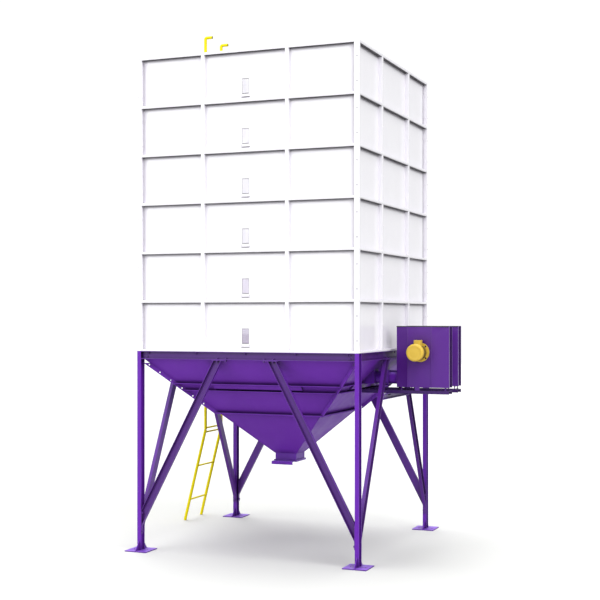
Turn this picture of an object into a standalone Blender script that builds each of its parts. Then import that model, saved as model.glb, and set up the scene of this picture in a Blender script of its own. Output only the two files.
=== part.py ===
"""Square hopper-bottom grain silo on four braced legs, in metres, +Z up, front wall facing -Y.

Everything is laid out about the vertical axis of the bin. At the end the whole silo hangs on one empty,
which moves that axis to AXIS_X, so that the origin lies below the middle of the object's box.
"""

import math

import bmesh
import bpy
from mathutils import Vector

# Driving sizes of the bin
SIDE = 3.0
RING_TOP = 2.56
TIER_HEIGHT = 0.62
TIERS = 6
GAP = 0.0003
AXIS_X = -0.1225

# The outer faces of the ribs and flanges stand in one plane, the sheets lie FLANGE behind it
HALF = SIDE / 2
FLANGE = 0.052
SHEET = 0.010
SHEET_FACE = HALF - FLANGE
INNER_FACE = SHEET_FACE - SHEET
RIB_FACE = HALF - 0.0015
RIB_X = 0.57
RIB_WIDTH = 0.046
CORNER_CUT = 0.037
CORNER_POST = 0.060
FOOT_FOLD = 0.025
HEAD_FOLD = 0.006
RIM_HEIGHT = 0.025

# Sight windows, in the middle of the front wall of each tier
PANE_WIDTH = 0.090
PANE_HEIGHT = 0.178
PANE_LOW = 0.108
SURROUND_WIDTH = 0.140
SURROUND_HEIGHT = 0.245
SURROUND_LOW = 0.068
SURROUND_THICK = 0.008

# Frame
RING_DEPTH = 0.100
RING_BOTTOM = RING_TOP - RING_DEPTH
STEEL = 0.008
LEG_WIDTH = FLANGE
LEG_DEPTH = 0.100
LEG_WEB = 0.008
BASE_SIDE = 0.305
BASE_THICK = 0.012
BASE_HOLE_R = 0.010
BASE_HOLE_OFF = 0.095
GUSSET_HEIGHT = 0.125
GUSSET_REACH = 0.100
BRACE_TOP = 0.365
BRACE_FOOT = 0.410
BRACE_DEPTH = 0.100
BRACE_FLANGE = 0.045
BRACE_WEB = 0.006
BRACE_PLATE = 0.200
BRACE_PLATE_THICK = 0.010
BRACE_PLATE_PAST = 0.065
BRACE_SHOE = (-0.190, 0.100)

# Hopper: a 45 degree pyramid, so its half width is the height above HOPPER_APEX
HOPPER_APEX = 1.022
HOPPER_WALL = 0.012
HOPPER_FLANGE = 0.058
JOINT_HIGH = 2.130
JOINT_MIDDLE = 2.040
JOINT_LOW = 1.730
CORNER_FIN = 0.058
FIN_TOP = 2.405
FIN_HOLE_R = 0.010
FIN_HOLES = (2.38, 2.28, 2.175, 2.07, 1.965, 1.86, 1.75)
THROAT_HALF = 0.150
THROAT_TOP = HOPPER_APEX + THROAT_HALF
THROAT_BOTTOM = 1.078
THROAT_WALL = 0.008
SLIDE_FRONT = 0.280
SLIDE_LIP = 0.042
SLIDE_THICK = 0.006
RAIL_OUT = 0.014
RAIL_PAST = 0.020

# Two slim radial fans on the right side, one behind the other, their motors on the side turned to -Y
FAN_MIDDLES = {"front": -0.225, "back": 0.225}
FAN_LEFT = 1.596
FAN_RIGHT = 2.282
FAN_DEPTH = 0.170
FAN_LOW = 2.100
FAN_TOP = 2.878
PAN_DEPTH = 0.050
PLATE_THICK = 0.006
SCROLL_FROM, SCROLL_TO = -90, 216
SCROLL_WIDE, SCROLL_TIGHT = 0.441, 0.285
SCROLL_GROWTH = 2.5
SCROLL_STEP = 17
SCROLL_SIDE = 0.012
OUTLET_LOW, OUTLET_HIGH = 2.106, 2.320
INLET_R = 0.160
INLET_DEPTH = 0.100
FOOT_R = 0.009
FEET_X = (1.657, 2.234)
FOOT_Y = 0.065
BRACKET_X = (1.838, 1.900)
MOTOR_X = 1.908
MOTOR_Z = 2.547
MOTOR_R = 0.110
MOTOR_FRAME_R = 0.098
MOTOR_CAP = 0.060
MOTOR_FLANGE_R = 0.123
MOTOR_FLANGE = 0.012
MOTOR_LENGTH = 0.262
TERMINAL_BOX = (0.090, 0.090, 0.057)
TERMINAL_BACK = 0.046
DUCT_R = 0.075
DUCT_FLANGE_R = 0.106
DUCT_FLANGE = 0.024
DUCT_FLANGE_X = 1.472
DUCT_Z = 2.213
WEDGE_FACE = 1.300
WEDGE_HALF = 0.100
SUPPORT_TOP = 2.060
SUPPORT_DEPTH = 0.042
SUPPORT_WIDTH = 0.156
SUPPORT_WALL = 0.006
SUPPORT_TAPER = (0.070, 0.030)
CROSS_DEPTH = 0.070
CROSS_WALL = 0.006

# Ladder on the left wall
LADDER_Y = (0.830, 1.360)
LADDER_X = -1.680
LADDER_BREAK = 1.350
LADDER_SPLICE = 4.120
LADDER_TOP = 7.076
LADDER_BEND = 0.030
LADDER_HOOK = 0.110
LADDER_FOOT_X = -2.016
RAIL_R = 0.021
RUNG_R = 0.0125
RUNG_STEP = 0.50
RUNGS = 10
FIRST_RUNG = 0.310
ABOVE_BREAK = 0.022
BELOW_BREAK = 0.040
BRACKET_HALF = (0.015, 0.004)

X, Y, Z = Vector((1, 0, 0)), Vector((0, 1, 0)), Vector((0, 0, 1))


def clear_scene():
    for obj in list(bpy.data.objects):
        bpy.data.objects.remove(obj, do_unlink=True)


def material(name, colour, roughness, metallic=0.0):
    made = bpy.data.materials.new(name)
    made.use_nodes = True
    shader = made.node_tree.nodes["Principled BSDF"]
    shader.inputs["Base Color"].default_value = (*colour, 1.0)
    shader.inputs["Roughness"].default_value = roughness
    shader.inputs["Metallic"].default_value = metallic
    return made


def shape(bm):
    """A hidden helper object that holds one closed shape, its faces turned outwards."""
    bmesh.ops.recalc_face_normals(bm, faces=bm.faces)
    mesh = bpy.data.meshes.new("shape")
    bm.to_mesh(mesh)
    bm.free()
    obj = bpy.data.objects.new("shape", mesh)
    bpy.context.scene.collection.objects.link(obj)
    obj.hide_render = True
    obj.display_type = "WIRE"
    return obj


def sweep(points, origin, across, up, along):
    """A polygon of (across, up) points, carried straight along a vector."""
    bm = bmesh.new()
    origin, along = Vector(origin), Vector(along)
    ring = [bm.verts.new(origin + across * a + up * b) for a, b in points]
    face = bm.faces.new(ring)
    moved = bmesh.ops.extrude_face_region(bm, geom=[face])["geom"]
    bmesh.ops.translate(bm, vec=along, verts=[v for v in moved if isinstance(v, bmesh.types.BMVert)])
    return shape(bm)


def block(low, high):
    (x0, y0, z0), (x1, y1, z1) = low, high
    return sweep([(x0, y0), (x1, y0), (x1, y1), (x0, y1)], (0, 0, z0), X, Y, (0, 0, z1 - z0))


def square_prism(half, low, high, cut=0.0):
    """A square of this half width from low to high, its corners cut off when cut is given."""
    if not cut:
        return block((-half, -half, low), (half, half, high))
    far, near = half, half - cut
    points = [
        (far, near), (near, far), (-near, far), (-far, near),
        (-far, -near), (-near, -far), (near, -far), (far, -near),
    ]
    return sweep(points, (0, 0, low), X, Y, (0, 0, high - low))


def pyramid(half_low, low, half_high, high):
    """A square frustum with one half width at its bottom and another at its top."""
    bm = bmesh.new()
    rings = [
        [bm.verts.new((sx * half, sy * half, z)) for sx, sy in ((1, 1), (-1, 1), (-1, -1), (1, -1))]
        for half, z in ((half_low, low), (half_high, high))
    ]
    bmesh.ops.contextual_create(bm, geom=rings[0])
    bmesh.ops.contextual_create(bm, geom=rings[1])
    for i in range(4):
        j = (i + 1) % 4
        bm.faces.new((rings[0][i], rings[0][j], rings[1][j], rings[1][i]))
    return shape(bm)


def rod(start, end, radius, sides=10):
    """A straight round bar between two points."""
    start, end = Vector(start), Vector(end)
    along = end - start
    turn = along.to_track_quat("Z", "Y")
    points = [
        (radius * math.cos(2 * math.pi * i / sides), radius * math.sin(2 * math.pi * i / sides))
        for i in range(sides)
    ]
    return sweep(points, start, turn @ X, turn @ Y, along)


def tube(points, radius):
    """A round bar along a polyline, as a bevelled curve with closed ends."""
    curve = bpy.data.curves.new("path", "CURVE")
    curve.dimensions = "3D"
    curve.bevel_depth = radius
    curve.bevel_resolution = 1
    curve.use_fill_caps = True
    spline = curve.splines.new("POLY")
    spline.points.add(len(points) - 1)
    for point, place in zip(spline.points, points):
        point.co = (*place, 1.0)
    path = bpy.data.objects.new("path", curve)
    bpy.context.scene.collection.objects.link(path)
    bpy.context.view_layer.update()
    bm = bmesh.new()
    bm.from_mesh(path.evaluated_get(bpy.context.evaluated_depsgraph_get()).to_mesh())
    bpy.data.objects.remove(path, do_unlink=True)
    bmesh.ops.remove_doubles(bm, verts=bm.verts, dist=0.00001)
    return shape(bm)


def combine(shapes, holes=()):
    """One mesh from shapes joined by Boolean unions, less the holes."""
    body = shapes[0]
    steps = [("UNION", other) for other in shapes[1:]] + [("DIFFERENCE", other) for other in holes]
    for operation, other in steps:
        modifier = body.modifiers.new(operation.lower(), "BOOLEAN")
        modifier.operation = operation
        modifier.solver = "EXACT"
        modifier.object = other
    bpy.context.view_layer.update()
    graph = bpy.context.evaluated_depsgraph_get()
    mesh = bpy.data.meshes.new_from_object(body.evaluated_get(graph))
    for obj in [*shapes, *holes]:
        bpy.data.objects.remove(obj, do_unlink=True)
    return mesh


def node(name, mesh, finish, at=(0, 0, 0), turn=0.0, smooth=False):
    """A named piece of the silo, made of this mesh, placed and turned about +Z, with its finish."""
    obj = bpy.data.objects.new(name, mesh)
    bpy.context.scene.collection.objects.link(obj)
    obj.location = at
    obj.rotation_euler = (0, 0, turn)
    obj.parent = bpy.data.objects["silo"]
    if not mesh.materials:
        mesh.materials.append(finish)
    if smooth:
        mesh.shade_smooth()
        mesh.set_sharp_from_angle(angle=math.radians(35))
    return obj


def quarter(points):
    """The four corners of a plan outline that repeats at each quarter turn."""
    whole = []
    for k in range(4):
        c, s = round(math.cos(k * math.pi / 2)), round(math.sin(k * math.pi / 2))
        whole += [(c * x - s * y, s * x + c * y) for x, y in points]
    return whole


def tier_mesh():
    """One tier: four flanged walls with ribs and cut corner posts, and the window hole in front."""
    post, cut = HALF - CORNER_POST, HALF - CORNER_CUT
    rib_low, rib_high = RIB_X - RIB_WIDTH / 2, RIB_X + RIB_WIDTH / 2
    # the right wall's outline, walked from its front corner to its back corner
    right_wall = [
        (RIB_FACE, -cut), (RIB_FACE, -post), (SHEET_FACE, -post),
        (SHEET_FACE, -rib_high), (RIB_FACE, -rib_high), (RIB_FACE, -rib_low), (SHEET_FACE, -rib_low),
        (SHEET_FACE, rib_low), (RIB_FACE, rib_low), (RIB_FACE, rib_high), (SHEET_FACE, rib_high),
        (SHEET_FACE, post), (RIB_FACE, post), (RIB_FACE, cut),
    ]
    height = TIER_HEIGHT - GAP
    walls = sweep(quarter(right_wall), (0, 0, 0), X, Y, (0, 0, height))
    foot = square_prism(HALF, 0, FOOT_FOLD, CORNER_CUT)
    head = square_prism(RIB_FACE - 0.001, height - HEAD_FOLD, height, CORNER_CUT)
    inside = square_prism(INNER_FACE, -0.1, TIER_HEIGHT + 0.1)
    window = block(
        (-PANE_WIDTH / 2, -HALF - 0.1, PANE_LOW), (PANE_WIDTH / 2, -INNER_FACE + 0.1, PANE_LOW + PANE_HEIGHT)
    )
    return combine([walls, foot, head], [inside, window])


def sight_window_mesh():
    """A flat surround with its clear pane set a little back in it, made as one plate."""
    face = -SHEET_FACE - GAP
    surround = block(
        (-SURROUND_WIDTH / 2, face - SURROUND_THICK, SURROUND_LOW),
        (SURROUND_WIDTH / 2, face, SURROUND_LOW + SURROUND_HEIGHT),
    )
    recess = block(
        (-PANE_WIDTH / 2, face - SURROUND_THICK - 0.01, PANE_LOW),
        (PANE_WIDTH / 2, face - SURROUND_THICK / 2, PANE_LOW + PANE_HEIGHT),
    )
    return combine([surround], [recess])


def channel(depth, flange, web):
    """A channel's outline: its back along the second axis, its flanges towards the first."""
    half = depth / 2
    return [
        (0, -half), (flange, -half), (flange, -half + web), (web, -half + web),
        (web, half - web), (flange, half - web), (flange, half), (0, half),
    ]


def make_bin(white, glass):
    mesh, window = tier_mesh(), sight_window_mesh()
    for k in range(TIERS):
        low = RING_TOP + GAP + k * TIER_HEIGHT
        node(f"tier_{k + 1}", mesh, white, (0, 0, low))
        node(f"sight_window_{k + 1}", window, glass, (0, 0, low))
    top = RING_TOP + GAP + TIERS * TIER_HEIGHT
    rim = combine(
        [square_prism(HALF, 0, RIM_HEIGHT, CORNER_CUT)],
        [square_prism(INNER_FACE, -0.1, RIM_HEIGHT + 0.1)],
    )
    node("top_rim", rim, white, (0, 0, top))


def make_ring(purple):
    """Four channels with their open sides outwards, which run between the legs."""
    middle = (RING_TOP + RING_BOTTOM) / 2
    lengths = (SIDE - 2 * (LEG_WIDTH + GAP), SIDE - 2 * (LEG_DEPTH + GAP))
    walls = (("front", 0), ("right", 1), ("back", 0), ("left", 1))
    for k, (name, which) in enumerate(walls):
        length = lengths[which]
        start = (-length / 2, -SHEET_FACE, middle)
        beam = combine([sweep(channel(RING_DEPTH, FLANGE, STEEL), start, -Y, Z, X * length)])
        node(f"ring_beam_{name}", beam, purple, turn=k * math.pi / 2)


def leg_mesh(side_x, side_y):
    """An I-section post with its flanges to the front and back, a drilled base plate and two gussets."""
    x0, y0 = side_x * (HALF - LEG_WIDTH / 2), side_y * (HALF - LEG_DEPTH / 2)
    wide, deep, web, steel = LEG_WIDTH / 2, LEG_DEPTH / 2, LEG_WEB / 2, STEEL
    section = [
        (-wide, -deep), (wide, -deep), (wide, -deep + steel), (web, -deep + steel),
        (web, deep - steel), (wide, deep - steel), (wide, deep), (-wide, deep),
        (-wide, deep - steel), (-web, deep - steel), (-web, -deep + steel), (-wide, -deep + steel),
    ]
    low = BASE_THICK - 0.002
    post = sweep(section, (x0, y0, low), X, Y, (0, 0, RING_TOP - low))
    half = BASE_SIDE / 2
    plate = block((x0 - half, y0 - half, 0), (x0 + half, y0 + half, BASE_THICK))
    shapes = [plate, post]
    tall, top = GUSSET_HEIGHT, BASE_THICK - 0.001
    for sign in (-1, 1):
        front = [(deep - 0.003, top), (deep + GUSSET_REACH, top), (deep - 0.003, top + tall)]
        shapes.append(sweep(front, (x0 - web, y0, 0), Y * sign, Z, X * LEG_WEB))
    places = [(x0 - BASE_HOLE_OFF, y0), (x0 + BASE_HOLE_OFF, y0)]
    holes = [rod((x, y, -0.05), (x, y, 0.05), BASE_HOLE_R, 8) for x, y in places]
    return combine(shapes, holes)


def make_legs(purple):
    for front, sy in (("front", -1), ("back", 1)):
        for side, sx in (("left", -1), ("right", 1)):
            node(f"leg_{front}_{side}", leg_mesh(sx, sy), purple)


def brace_mesh(leg_face):
    """The brace on the right half of the front wall, a channel from the leg up to the ring beam.

    leg_face is the distance from the wall's middle to the face of the leg that the brace meets.
    """
    run = Vector((leg_face - BRACE_TOP, 0, BRACE_FOOT - RING_BOTTOM))
    across = run.normalized().cross(Y)
    plane = -HALF + BRACE_FLANGE + 0.002
    extend = run.normalized() * 0.2
    start = Vector((BRACE_TOP, plane, RING_BOTTOM)) - extend
    bar = sweep(channel(BRACE_DEPTH, BRACE_FLANGE, BRACE_WEB), start, -Y, across, run + 2 * extend)
    top = RING_BOTTOM - GAP
    inner = BRACE_TOP - BRACE_DEPTH / 2 - BRACE_PLATE_PAST
    plate = block(
        (inner, plane - BRACE_FLANGE, top - BRACE_PLATE_THICK), (inner + BRACE_PLATE, plane, top)
    )
    shoe_low, shoe_high = (BRACE_FOOT + reach for reach in BRACE_SHOE)
    shoe = block(
        (leg_face - GAP - STEEL, plane - BRACE_FLANGE, shoe_low),
        (leg_face - GAP, plane, shoe_high),
    )
    over = block((-HALF, -2, top - BRACE_PLATE_THICK / 2), (HALF, 0, top + 1))
    beyond = block((leg_face - GAP - STEEL / 2, -2, -1), (leg_face + 1, 0, 2))
    trimmed = combine([bar], [over, beyond])
    body = bpy.data.objects.new("shape", trimmed)
    bpy.context.scene.collection.objects.link(body)
    return combine([body, plate, shoe])


def make_braces(purple):
    """Two braces on each wall. The second one is the mirror image of the first."""
    sides = ("front", "right", "back", "left")
    for k, side in enumerate(sides):
        leg_face = HALF - (LEG_WIDTH if k % 2 == 0 else LEG_DEPTH)
        right = brace_mesh(leg_face)
        left = right.copy()
        for vertex in left.vertices:
            vertex.co.x = -vertex.co.x
        left.flip_normals()
        after, before = sides[(k + 1) % 4], sides[k - 1]
        node(f"brace_{side}_near_{after}", right, purple, turn=k * math.pi / 2)
        node(f"brace_{side}_near_{before}", left, purple, turn=k * math.pi / 2)


def hopper_section(low, high, flanges, fin, past=0.05):
    """A ring of the hopper's pyramid, with square flanges at some heights and drilled fins on its corners.

    It comes with what is cut from it: the pyramid inside it, which runs on past the ring's upper edge,
    and the holes of the fins.
    """

    def at(z):
        return z - HOPPER_APEX

    shapes = [pyramid(at(low), low, at(high), high)]
    for height, thick in flanges:
        wide = at(height + thick / 2) + HOPPER_FLANGE
        shapes.append(square_prism(wide, height, height + thick, 0.03))
    below = 0.05
    hole = pyramid(at(low - below) - HOPPER_WALL, low - below, at(high + past) - HOPPER_WALL, high + past)
    cuts = [hole]
    if fin:
        fin_low, fin_high = fin
        for k in range(4):
            angle = math.radians(45 + 90 * k)
            out = Vector((math.cos(angle), math.sin(angle), 0))
            root = math.sqrt(2)
            points = [
                (root * at(fin_low) - 0.010, fin_low), (root * (at(fin_low) + CORNER_FIN), fin_low),
                (root * (at(fin_high) + CORNER_FIN), fin_high), (root * at(fin_high) - 0.010, fin_high),
            ]
            side = Z.cross(out) * STEEL
            shapes.append(sweep(points, side * -0.5, out, Z, side))
            for z in FIN_HOLES:
                if fin_low < z < fin_high:
                    place = out * (root * (at(z) + CORNER_FIN / 2)) + Z * z
                    cuts.append(rod(place - side, place + side, FIN_HOLE_R, 8))
    return shapes, cuts


def make_hopper(purple):
    rim_half = SHEET_FACE - GAP
    slope_top = HOPPER_APEX + rim_half
    shapes, cuts = hopper_section(
        JOINT_HIGH, slope_top, [(JOINT_HIGH, STEEL)], (JOINT_HIGH + 0.002, FIN_TOP), past=0.002
    )
    upstand = square_prism(rim_half, slope_top - 0.010, RING_TOP)
    bore = square_prism(rim_half - SHEET, slope_top - 0.002, RING_TOP + 0.1)
    node("hopper_upper", combine([*shapes, upstand], [*cuts, bore]), purple)
    low, high = JOINT_LOW + GAP, JOINT_HIGH - GAP
    flanges = [(JOINT_MIDDLE, STEEL), (low, STEEL)]
    shapes, cuts = hopper_section(low, high, flanges, (JOINT_LOW + 0.003, high))
    node("hopper_middle", combine(shapes, cuts), purple)
    shapes, cuts = hopper_section(THROAT_TOP, JOINT_LOW, [(JOINT_LOW - STEEL, STEEL)], None)
    node("hopper_lower", combine(shapes, cuts), purple)


def make_outlet(purple):
    """A square throat with a guide rail on each side, and the slide plate that shuts it."""
    half, low, high = THROAT_HALF, THROAT_BOTTOM, THROAT_TOP - GAP
    rail_low = low - 2 * SLIDE_THICK - 0.002
    # each rail is a C: its upper arm on the throat, its back, and its lower arm under the slide plate
    arms = [(half - 0.004, low, low + 0.010), (half + 0.003, rail_low, low + 0.005),
            (half - RAIL_OUT, rail_low, rail_low + SLIDE_THICK)]
    shapes = [square_prism(half, low, high)]
    for sign in (-1, 1):
        for near, bottom, top in arms:
            x0, x1 = sorted((sign * near, sign * (half + RAIL_OUT)))
            shapes.append(block((x0, -half - RAIL_PAST, bottom), (x1, half + RAIL_PAST, top)))
    bore = square_prism(half - THROAT_WALL, low - 0.05, high + 0.05)
    node("outlet_throat", combine(shapes, [bore]), purple)
    top = low - GAP
    plate = block((-half, -SLIDE_FRONT, top - SLIDE_THICK), (half, half + 0.01, top))
    lip = block((-half, -SLIDE_FRONT - SLIDE_THICK, top - SLIDE_LIP), (half, -SLIDE_FRONT + 0.001, top))
    node("outlet_slide_plate", combine([plate, lip]), purple)


def scroll_outline():
    """The fan's scroll in (x, z): a spiral that widens to its foot and leaves to the left."""
    count = (SCROLL_TO - SCROLL_FROM) // SCROLL_STEP
    points = []
    for i in range(count + 1):
        share = i / count
        angle = math.radians(SCROLL_FROM + share * (SCROLL_TO - SCROLL_FROM))
        radius = SCROLL_TIGHT + (SCROLL_WIDE - SCROLL_TIGHT) * (1 - share) ** SCROLL_GROWTH
        points.append((MOTOR_X + radius * math.cos(angle), MOTOR_Z + radius * math.sin(angle)))
    return [*points, (FAN_LEFT + PLATE_THICK, OUTLET_HIGH), (FAN_LEFT + PLATE_THICK, OUTLET_LOW)]


def fan_housing_mesh(middle):
    """A slim fan housing: the front pan, the scroll, the back plate with its round inlet, and the feet."""
    y0, y1 = middle - FAN_DEPTH / 2, middle + FAN_DEPTH / 2
    shapes = [
        block((FAN_LEFT, y0, FAN_LOW), (FAN_RIGHT, y0 + PAN_DEPTH, FAN_TOP)),
        block((FAN_LEFT, y1 - PLATE_THICK, FAN_LOW), (FAN_RIGHT, y1, FAN_TOP)),
        sweep(scroll_outline(), (0, y0 + SCROLL_SIDE, 0), X, Z, Y * (FAN_DEPTH - SCROLL_SIDE - 0.002)),
        block((BRACKET_X[0], y0, SUPPORT_TOP + GAP), (BRACKET_X[1], y0 + 0.030, FAN_LOW + 0.010)),
    ]
    for x in FEET_X:
        for y in (middle - FOOT_Y, middle + FOOT_Y + FOOT_R):
            shapes.append(rod((x, y, SUPPORT_TOP + GAP), (x, y, FAN_LOW + 0.010), FOOT_R, 8))
    inlet = rod((MOTOR_X, y1 - INLET_DEPTH, MOTOR_Z), (MOTOR_X, y1 + 0.1, MOTOR_Z), INLET_R, 24)
    return combine(shapes, [inlet])


def fan_motor_mesh(face):
    """A flange motor whose flange lies on the fan's front face, with its terminal box on top."""
    wide, deep, tall = TERMINAL_BOX
    cap_face = face - MOTOR_LENGTH

    def disc(y_from, y_to, radius):
        return rod((MOTOR_X, y_from, MOTOR_Z), (MOTOR_X, y_to, MOTOR_Z), radius, 32)

    terminal = block(
        (MOTOR_X - wide / 2, face - TERMINAL_BACK - deep, MOTOR_Z + MOTOR_FRAME_R - 0.020),
        (MOTOR_X + wide / 2, face - TERMINAL_BACK, MOTOR_Z + MOTOR_FRAME_R + tall),
    )
    return combine([
        disc(face, face - MOTOR_FLANGE, MOTOR_FLANGE_R),
        disc(face - MOTOR_FLANGE + 0.002, cap_face + 0.002, MOTOR_FRAME_R),
        disc(cap_face + MOTOR_CAP, cap_face, MOTOR_R),
        terminal,
    ])


def fan_duct_mesh(middle):
    """A round pipe with a bolted flange joint, from the fan to a wedge-shaped box on the hopper's slope."""
    foot = JOINT_HIGH + STEEL + GAP
    slope = HOPPER_APEX - GAP * 2
    wedge = sweep(
        [(foot - slope, foot), (WEDGE_FACE, foot), (WEDGE_FACE, WEDGE_FACE + slope)],
        (0, middle - WEDGE_HALF, 0), X, Z, Y * (2 * WEDGE_HALF),
    )
    joint = DUCT_FLANGE_X
    pipe = rod((WEDGE_FACE - 0.010, middle, DUCT_Z), (FAN_LEFT - GAP, middle, DUCT_Z), DUCT_R, 24)
    collar = rod(
        (joint - DUCT_FLANGE / 2, middle, DUCT_Z),
        (joint + DUCT_FLANGE / 2, middle, DUCT_Z),
        DUCT_FLANGE_R, 24,
    )
    return combine([wedge, pipe, collar])


def make_fans(purple, golden):
    for name, middle in FAN_MIDDLES.items():
        node(f"fan_housing_{name}", fan_housing_mesh(middle), purple)
        motor = fan_motor_mesh(middle - FAN_DEPTH / 2 - GAP)
        node(f"fan_motor_{name}", motor, golden, smooth=True)
        node(f"fan_duct_{name}", fan_duct_mesh(middle), purple, smooth=True)


def make_fan_supports(purple):
    """A channel from the hopper's flange out below each fan, and the cross beam that carries both."""
    start = JOINT_MIDDLE + STEEL / 2 - HOPPER_APEX + HOPPER_FLANGE + GAP
    low, half = SUPPORT_TOP - SUPPORT_DEPTH, SUPPORT_WIDTH / 2
    long, tall = SUPPORT_TAPER
    for name, middle in FAN_MIDDLES.items():
        beam = block((start, middle - half, low), (FAN_RIGHT, middle + half, SUPPORT_TOP))
        groove = block(
            (start - 1, middle - half + SUPPORT_WALL, low - 0.01),
            (FAN_RIGHT + 1, middle + half - SUPPORT_WALL, SUPPORT_TOP - SUPPORT_WALL),
        )
        taper = sweep([(-0.01, -0.01), (long, -0.01), (-0.01, tall)], (start, -1, low), X, Z, Y * 3)
        node(f"fan_support_{name}", combine([beam], [groove, taper]), purple)
    top = low - GAP
    slope = (HALF - LEG_DEPTH - BRACE_TOP) / (RING_BOTTOM - BRACE_FOOT)
    leaning = math.sqrt(1 + slope * slope)

    def inside(z):
        """Half the room between the two braces of the right wall at this height."""
        return BRACE_TOP + slope * (RING_BOTTOM - z) - BRACE_DEPTH / 2 * leaning - GAP

    foot = top - CROSS_DEPTH
    x_out = HALF - 0.002
    x_in = x_out - BRACE_FLANGE
    outline = [(-inside(top), top), (inside(top), top), (inside(foot), foot), (-inside(foot), foot)]
    beam = sweep(outline, (x_in, 0, 0), Y, Z, X * BRACE_FLANGE)
    hollow = block((x_in + CROSS_WALL, -2, foot + CROSS_WALL), (x_out + 0.1, 2, top - CROSS_WALL))
    grooved = bpy.data.objects.new("shape", combine([beam], [hollow]))
    bpy.context.scene.collection.objects.link(grooved)
    end_plates = []
    for sign in (-1, 1):
        plate = [(inside(z) - back, z) for back, z in ((0, top), (0, foot), (STEEL, foot), (STEEL, top))]
        end_plates.append(sweep([(sign * y, z) for y, z in plate], (x_in, 0, 0), Y, Z, X * BRACE_FLANGE))
    node("fan_cross_beam", combine([grooved, *end_plates]), purple)


def make_ladder(yellow):
    """A tube ladder up the left wall in two lengths, bent over at its top, and a leaning lower flight."""
    bend = [
        (LADDER_X + LADDER_BEND * (1 - math.cos(a)), LADDER_TOP - LADDER_BEND * (1 - math.sin(a)))
        for a in (math.radians(18 * i) for i in range(6))
    ]
    lengths = (
        ("middle", [(LADDER_X, LADDER_BREAK), (LADDER_X, LADDER_SPLICE - GAP)]),
        ("upper", [(LADDER_X, LADDER_SPLICE), *bend, (LADDER_X + LADDER_HOOK, LADDER_TOP)]),
    )
    rungs = [LADDER_BREAK + ABOVE_BREAK + k * RUNG_STEP for k in range(RUNGS)]
    brackets = [RING_TOP + k * TIER_HEIGHT + FOOT_FOLD / 2 for k in range(0, TIERS + 1, 2)]
    half_y, half_z = BRACKET_HALF
    for name, path in lengths:
        low, high = path[0][1], path[-1][1]
        shapes = [tube([(x, y, z) for x, z in path], RAIL_R) for y in LADDER_Y]
        for z in brackets:
            if low < z < high:
                for y in LADDER_Y:
                    bracket_low = (LADDER_X, y - half_y, z - half_z)
                    shapes.append(block(bracket_low, (-HALF - GAP, y + half_y, z + half_z)))
        for z in rungs:
            if low < z < high:
                shapes.append(rod((LADDER_X, LADDER_Y[0], z), (LADDER_X, LADDER_Y[1], z), RUNG_R, 8))
        node(f"ladder_{name}", combine(shapes), yellow, smooth=True)
    lean = math.atan2(LADDER_X - LADDER_FOOT_X, LADDER_BREAK)
    lift = RAIL_R * math.sin(lean) + GAP
    foot, head = Vector((LADDER_FOOT_X, 0, lift)), Vector((LADDER_X, 0, LADDER_BREAK - lift))
    shapes = [rod(foot + Y * y, head + Y * y, RAIL_R, 8) for y in LADDER_Y]
    for z in (FIRST_RUNG, FIRST_RUNG + RUNG_STEP, LADDER_BREAK - BELOW_BREAK):
        place = foot.lerp(head, (z - foot.z) / (head.z - foot.z))
        shapes.append(rod(place + Y * LADDER_Y[0], place + Y * LADDER_Y[1], RUNG_R, 8))
    node("ladder_lower", combine(shapes), yellow, smooth=True)


def main():
    clear_scene()
    anchor = bpy.data.objects.new("silo", None)
    bpy.context.scene.collection.objects.link(anchor)
    anchor.location.x = AXIS_X
    white = material("white_paint", (0.90, 0.89, 0.93), 0.45)
    glass = material("clear_pane", (0.70, 0.72, 0.75), 0.15)
    purple = material("purple_paint", (0.17, 0.03, 0.42), 0.40)
    yellow = material("yellow_paint", (0.85, 0.72, 0.02), 0.40)
    golden = material("golden_paint", (0.88, 0.62, 0.08), 0.45)
    make_bin(white, glass)
    make_ring(purple)
    make_legs(purple)
    make_braces(purple)
    make_hopper(purple)
    make_outlet(purple)
    make_fans(purple, golden)
    make_fan_supports(purple)
    make_ladder(yellow)


main()
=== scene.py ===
"""The looks of a square hopper-bottom grain silo: coated steel, sheets, windows, fans and ladder.

Lengths are metres. Pieces are worked out about the bin's own vertical axis, with the front wall facing -Y,
and piece() moves them to where the frame holds the bin.
"""

import bpy
import numpy as np
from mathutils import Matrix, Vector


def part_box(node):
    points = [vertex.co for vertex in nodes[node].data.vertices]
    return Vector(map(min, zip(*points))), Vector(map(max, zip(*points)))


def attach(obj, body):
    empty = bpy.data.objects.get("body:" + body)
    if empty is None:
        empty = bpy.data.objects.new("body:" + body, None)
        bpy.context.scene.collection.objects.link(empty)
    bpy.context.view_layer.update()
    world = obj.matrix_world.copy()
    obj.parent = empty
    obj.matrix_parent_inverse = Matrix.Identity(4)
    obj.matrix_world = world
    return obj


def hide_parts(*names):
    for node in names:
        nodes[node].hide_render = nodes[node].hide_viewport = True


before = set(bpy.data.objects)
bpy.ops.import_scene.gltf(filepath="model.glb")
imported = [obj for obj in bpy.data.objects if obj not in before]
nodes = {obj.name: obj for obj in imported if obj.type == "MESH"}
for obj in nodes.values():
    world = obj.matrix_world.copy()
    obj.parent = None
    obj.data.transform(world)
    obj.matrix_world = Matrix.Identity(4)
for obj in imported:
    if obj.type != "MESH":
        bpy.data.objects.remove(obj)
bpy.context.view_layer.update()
bin_low, bin_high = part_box("tier_1")
axis_x = (bin_low.x + bin_high.x) / 2


# Legs
# Four rolled I-section posts stand on square base plates, drilled for anchors and stiffened by gussets.
# All of it is mild steel, welded in the shop and powder coated purple before it is put up.

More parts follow.
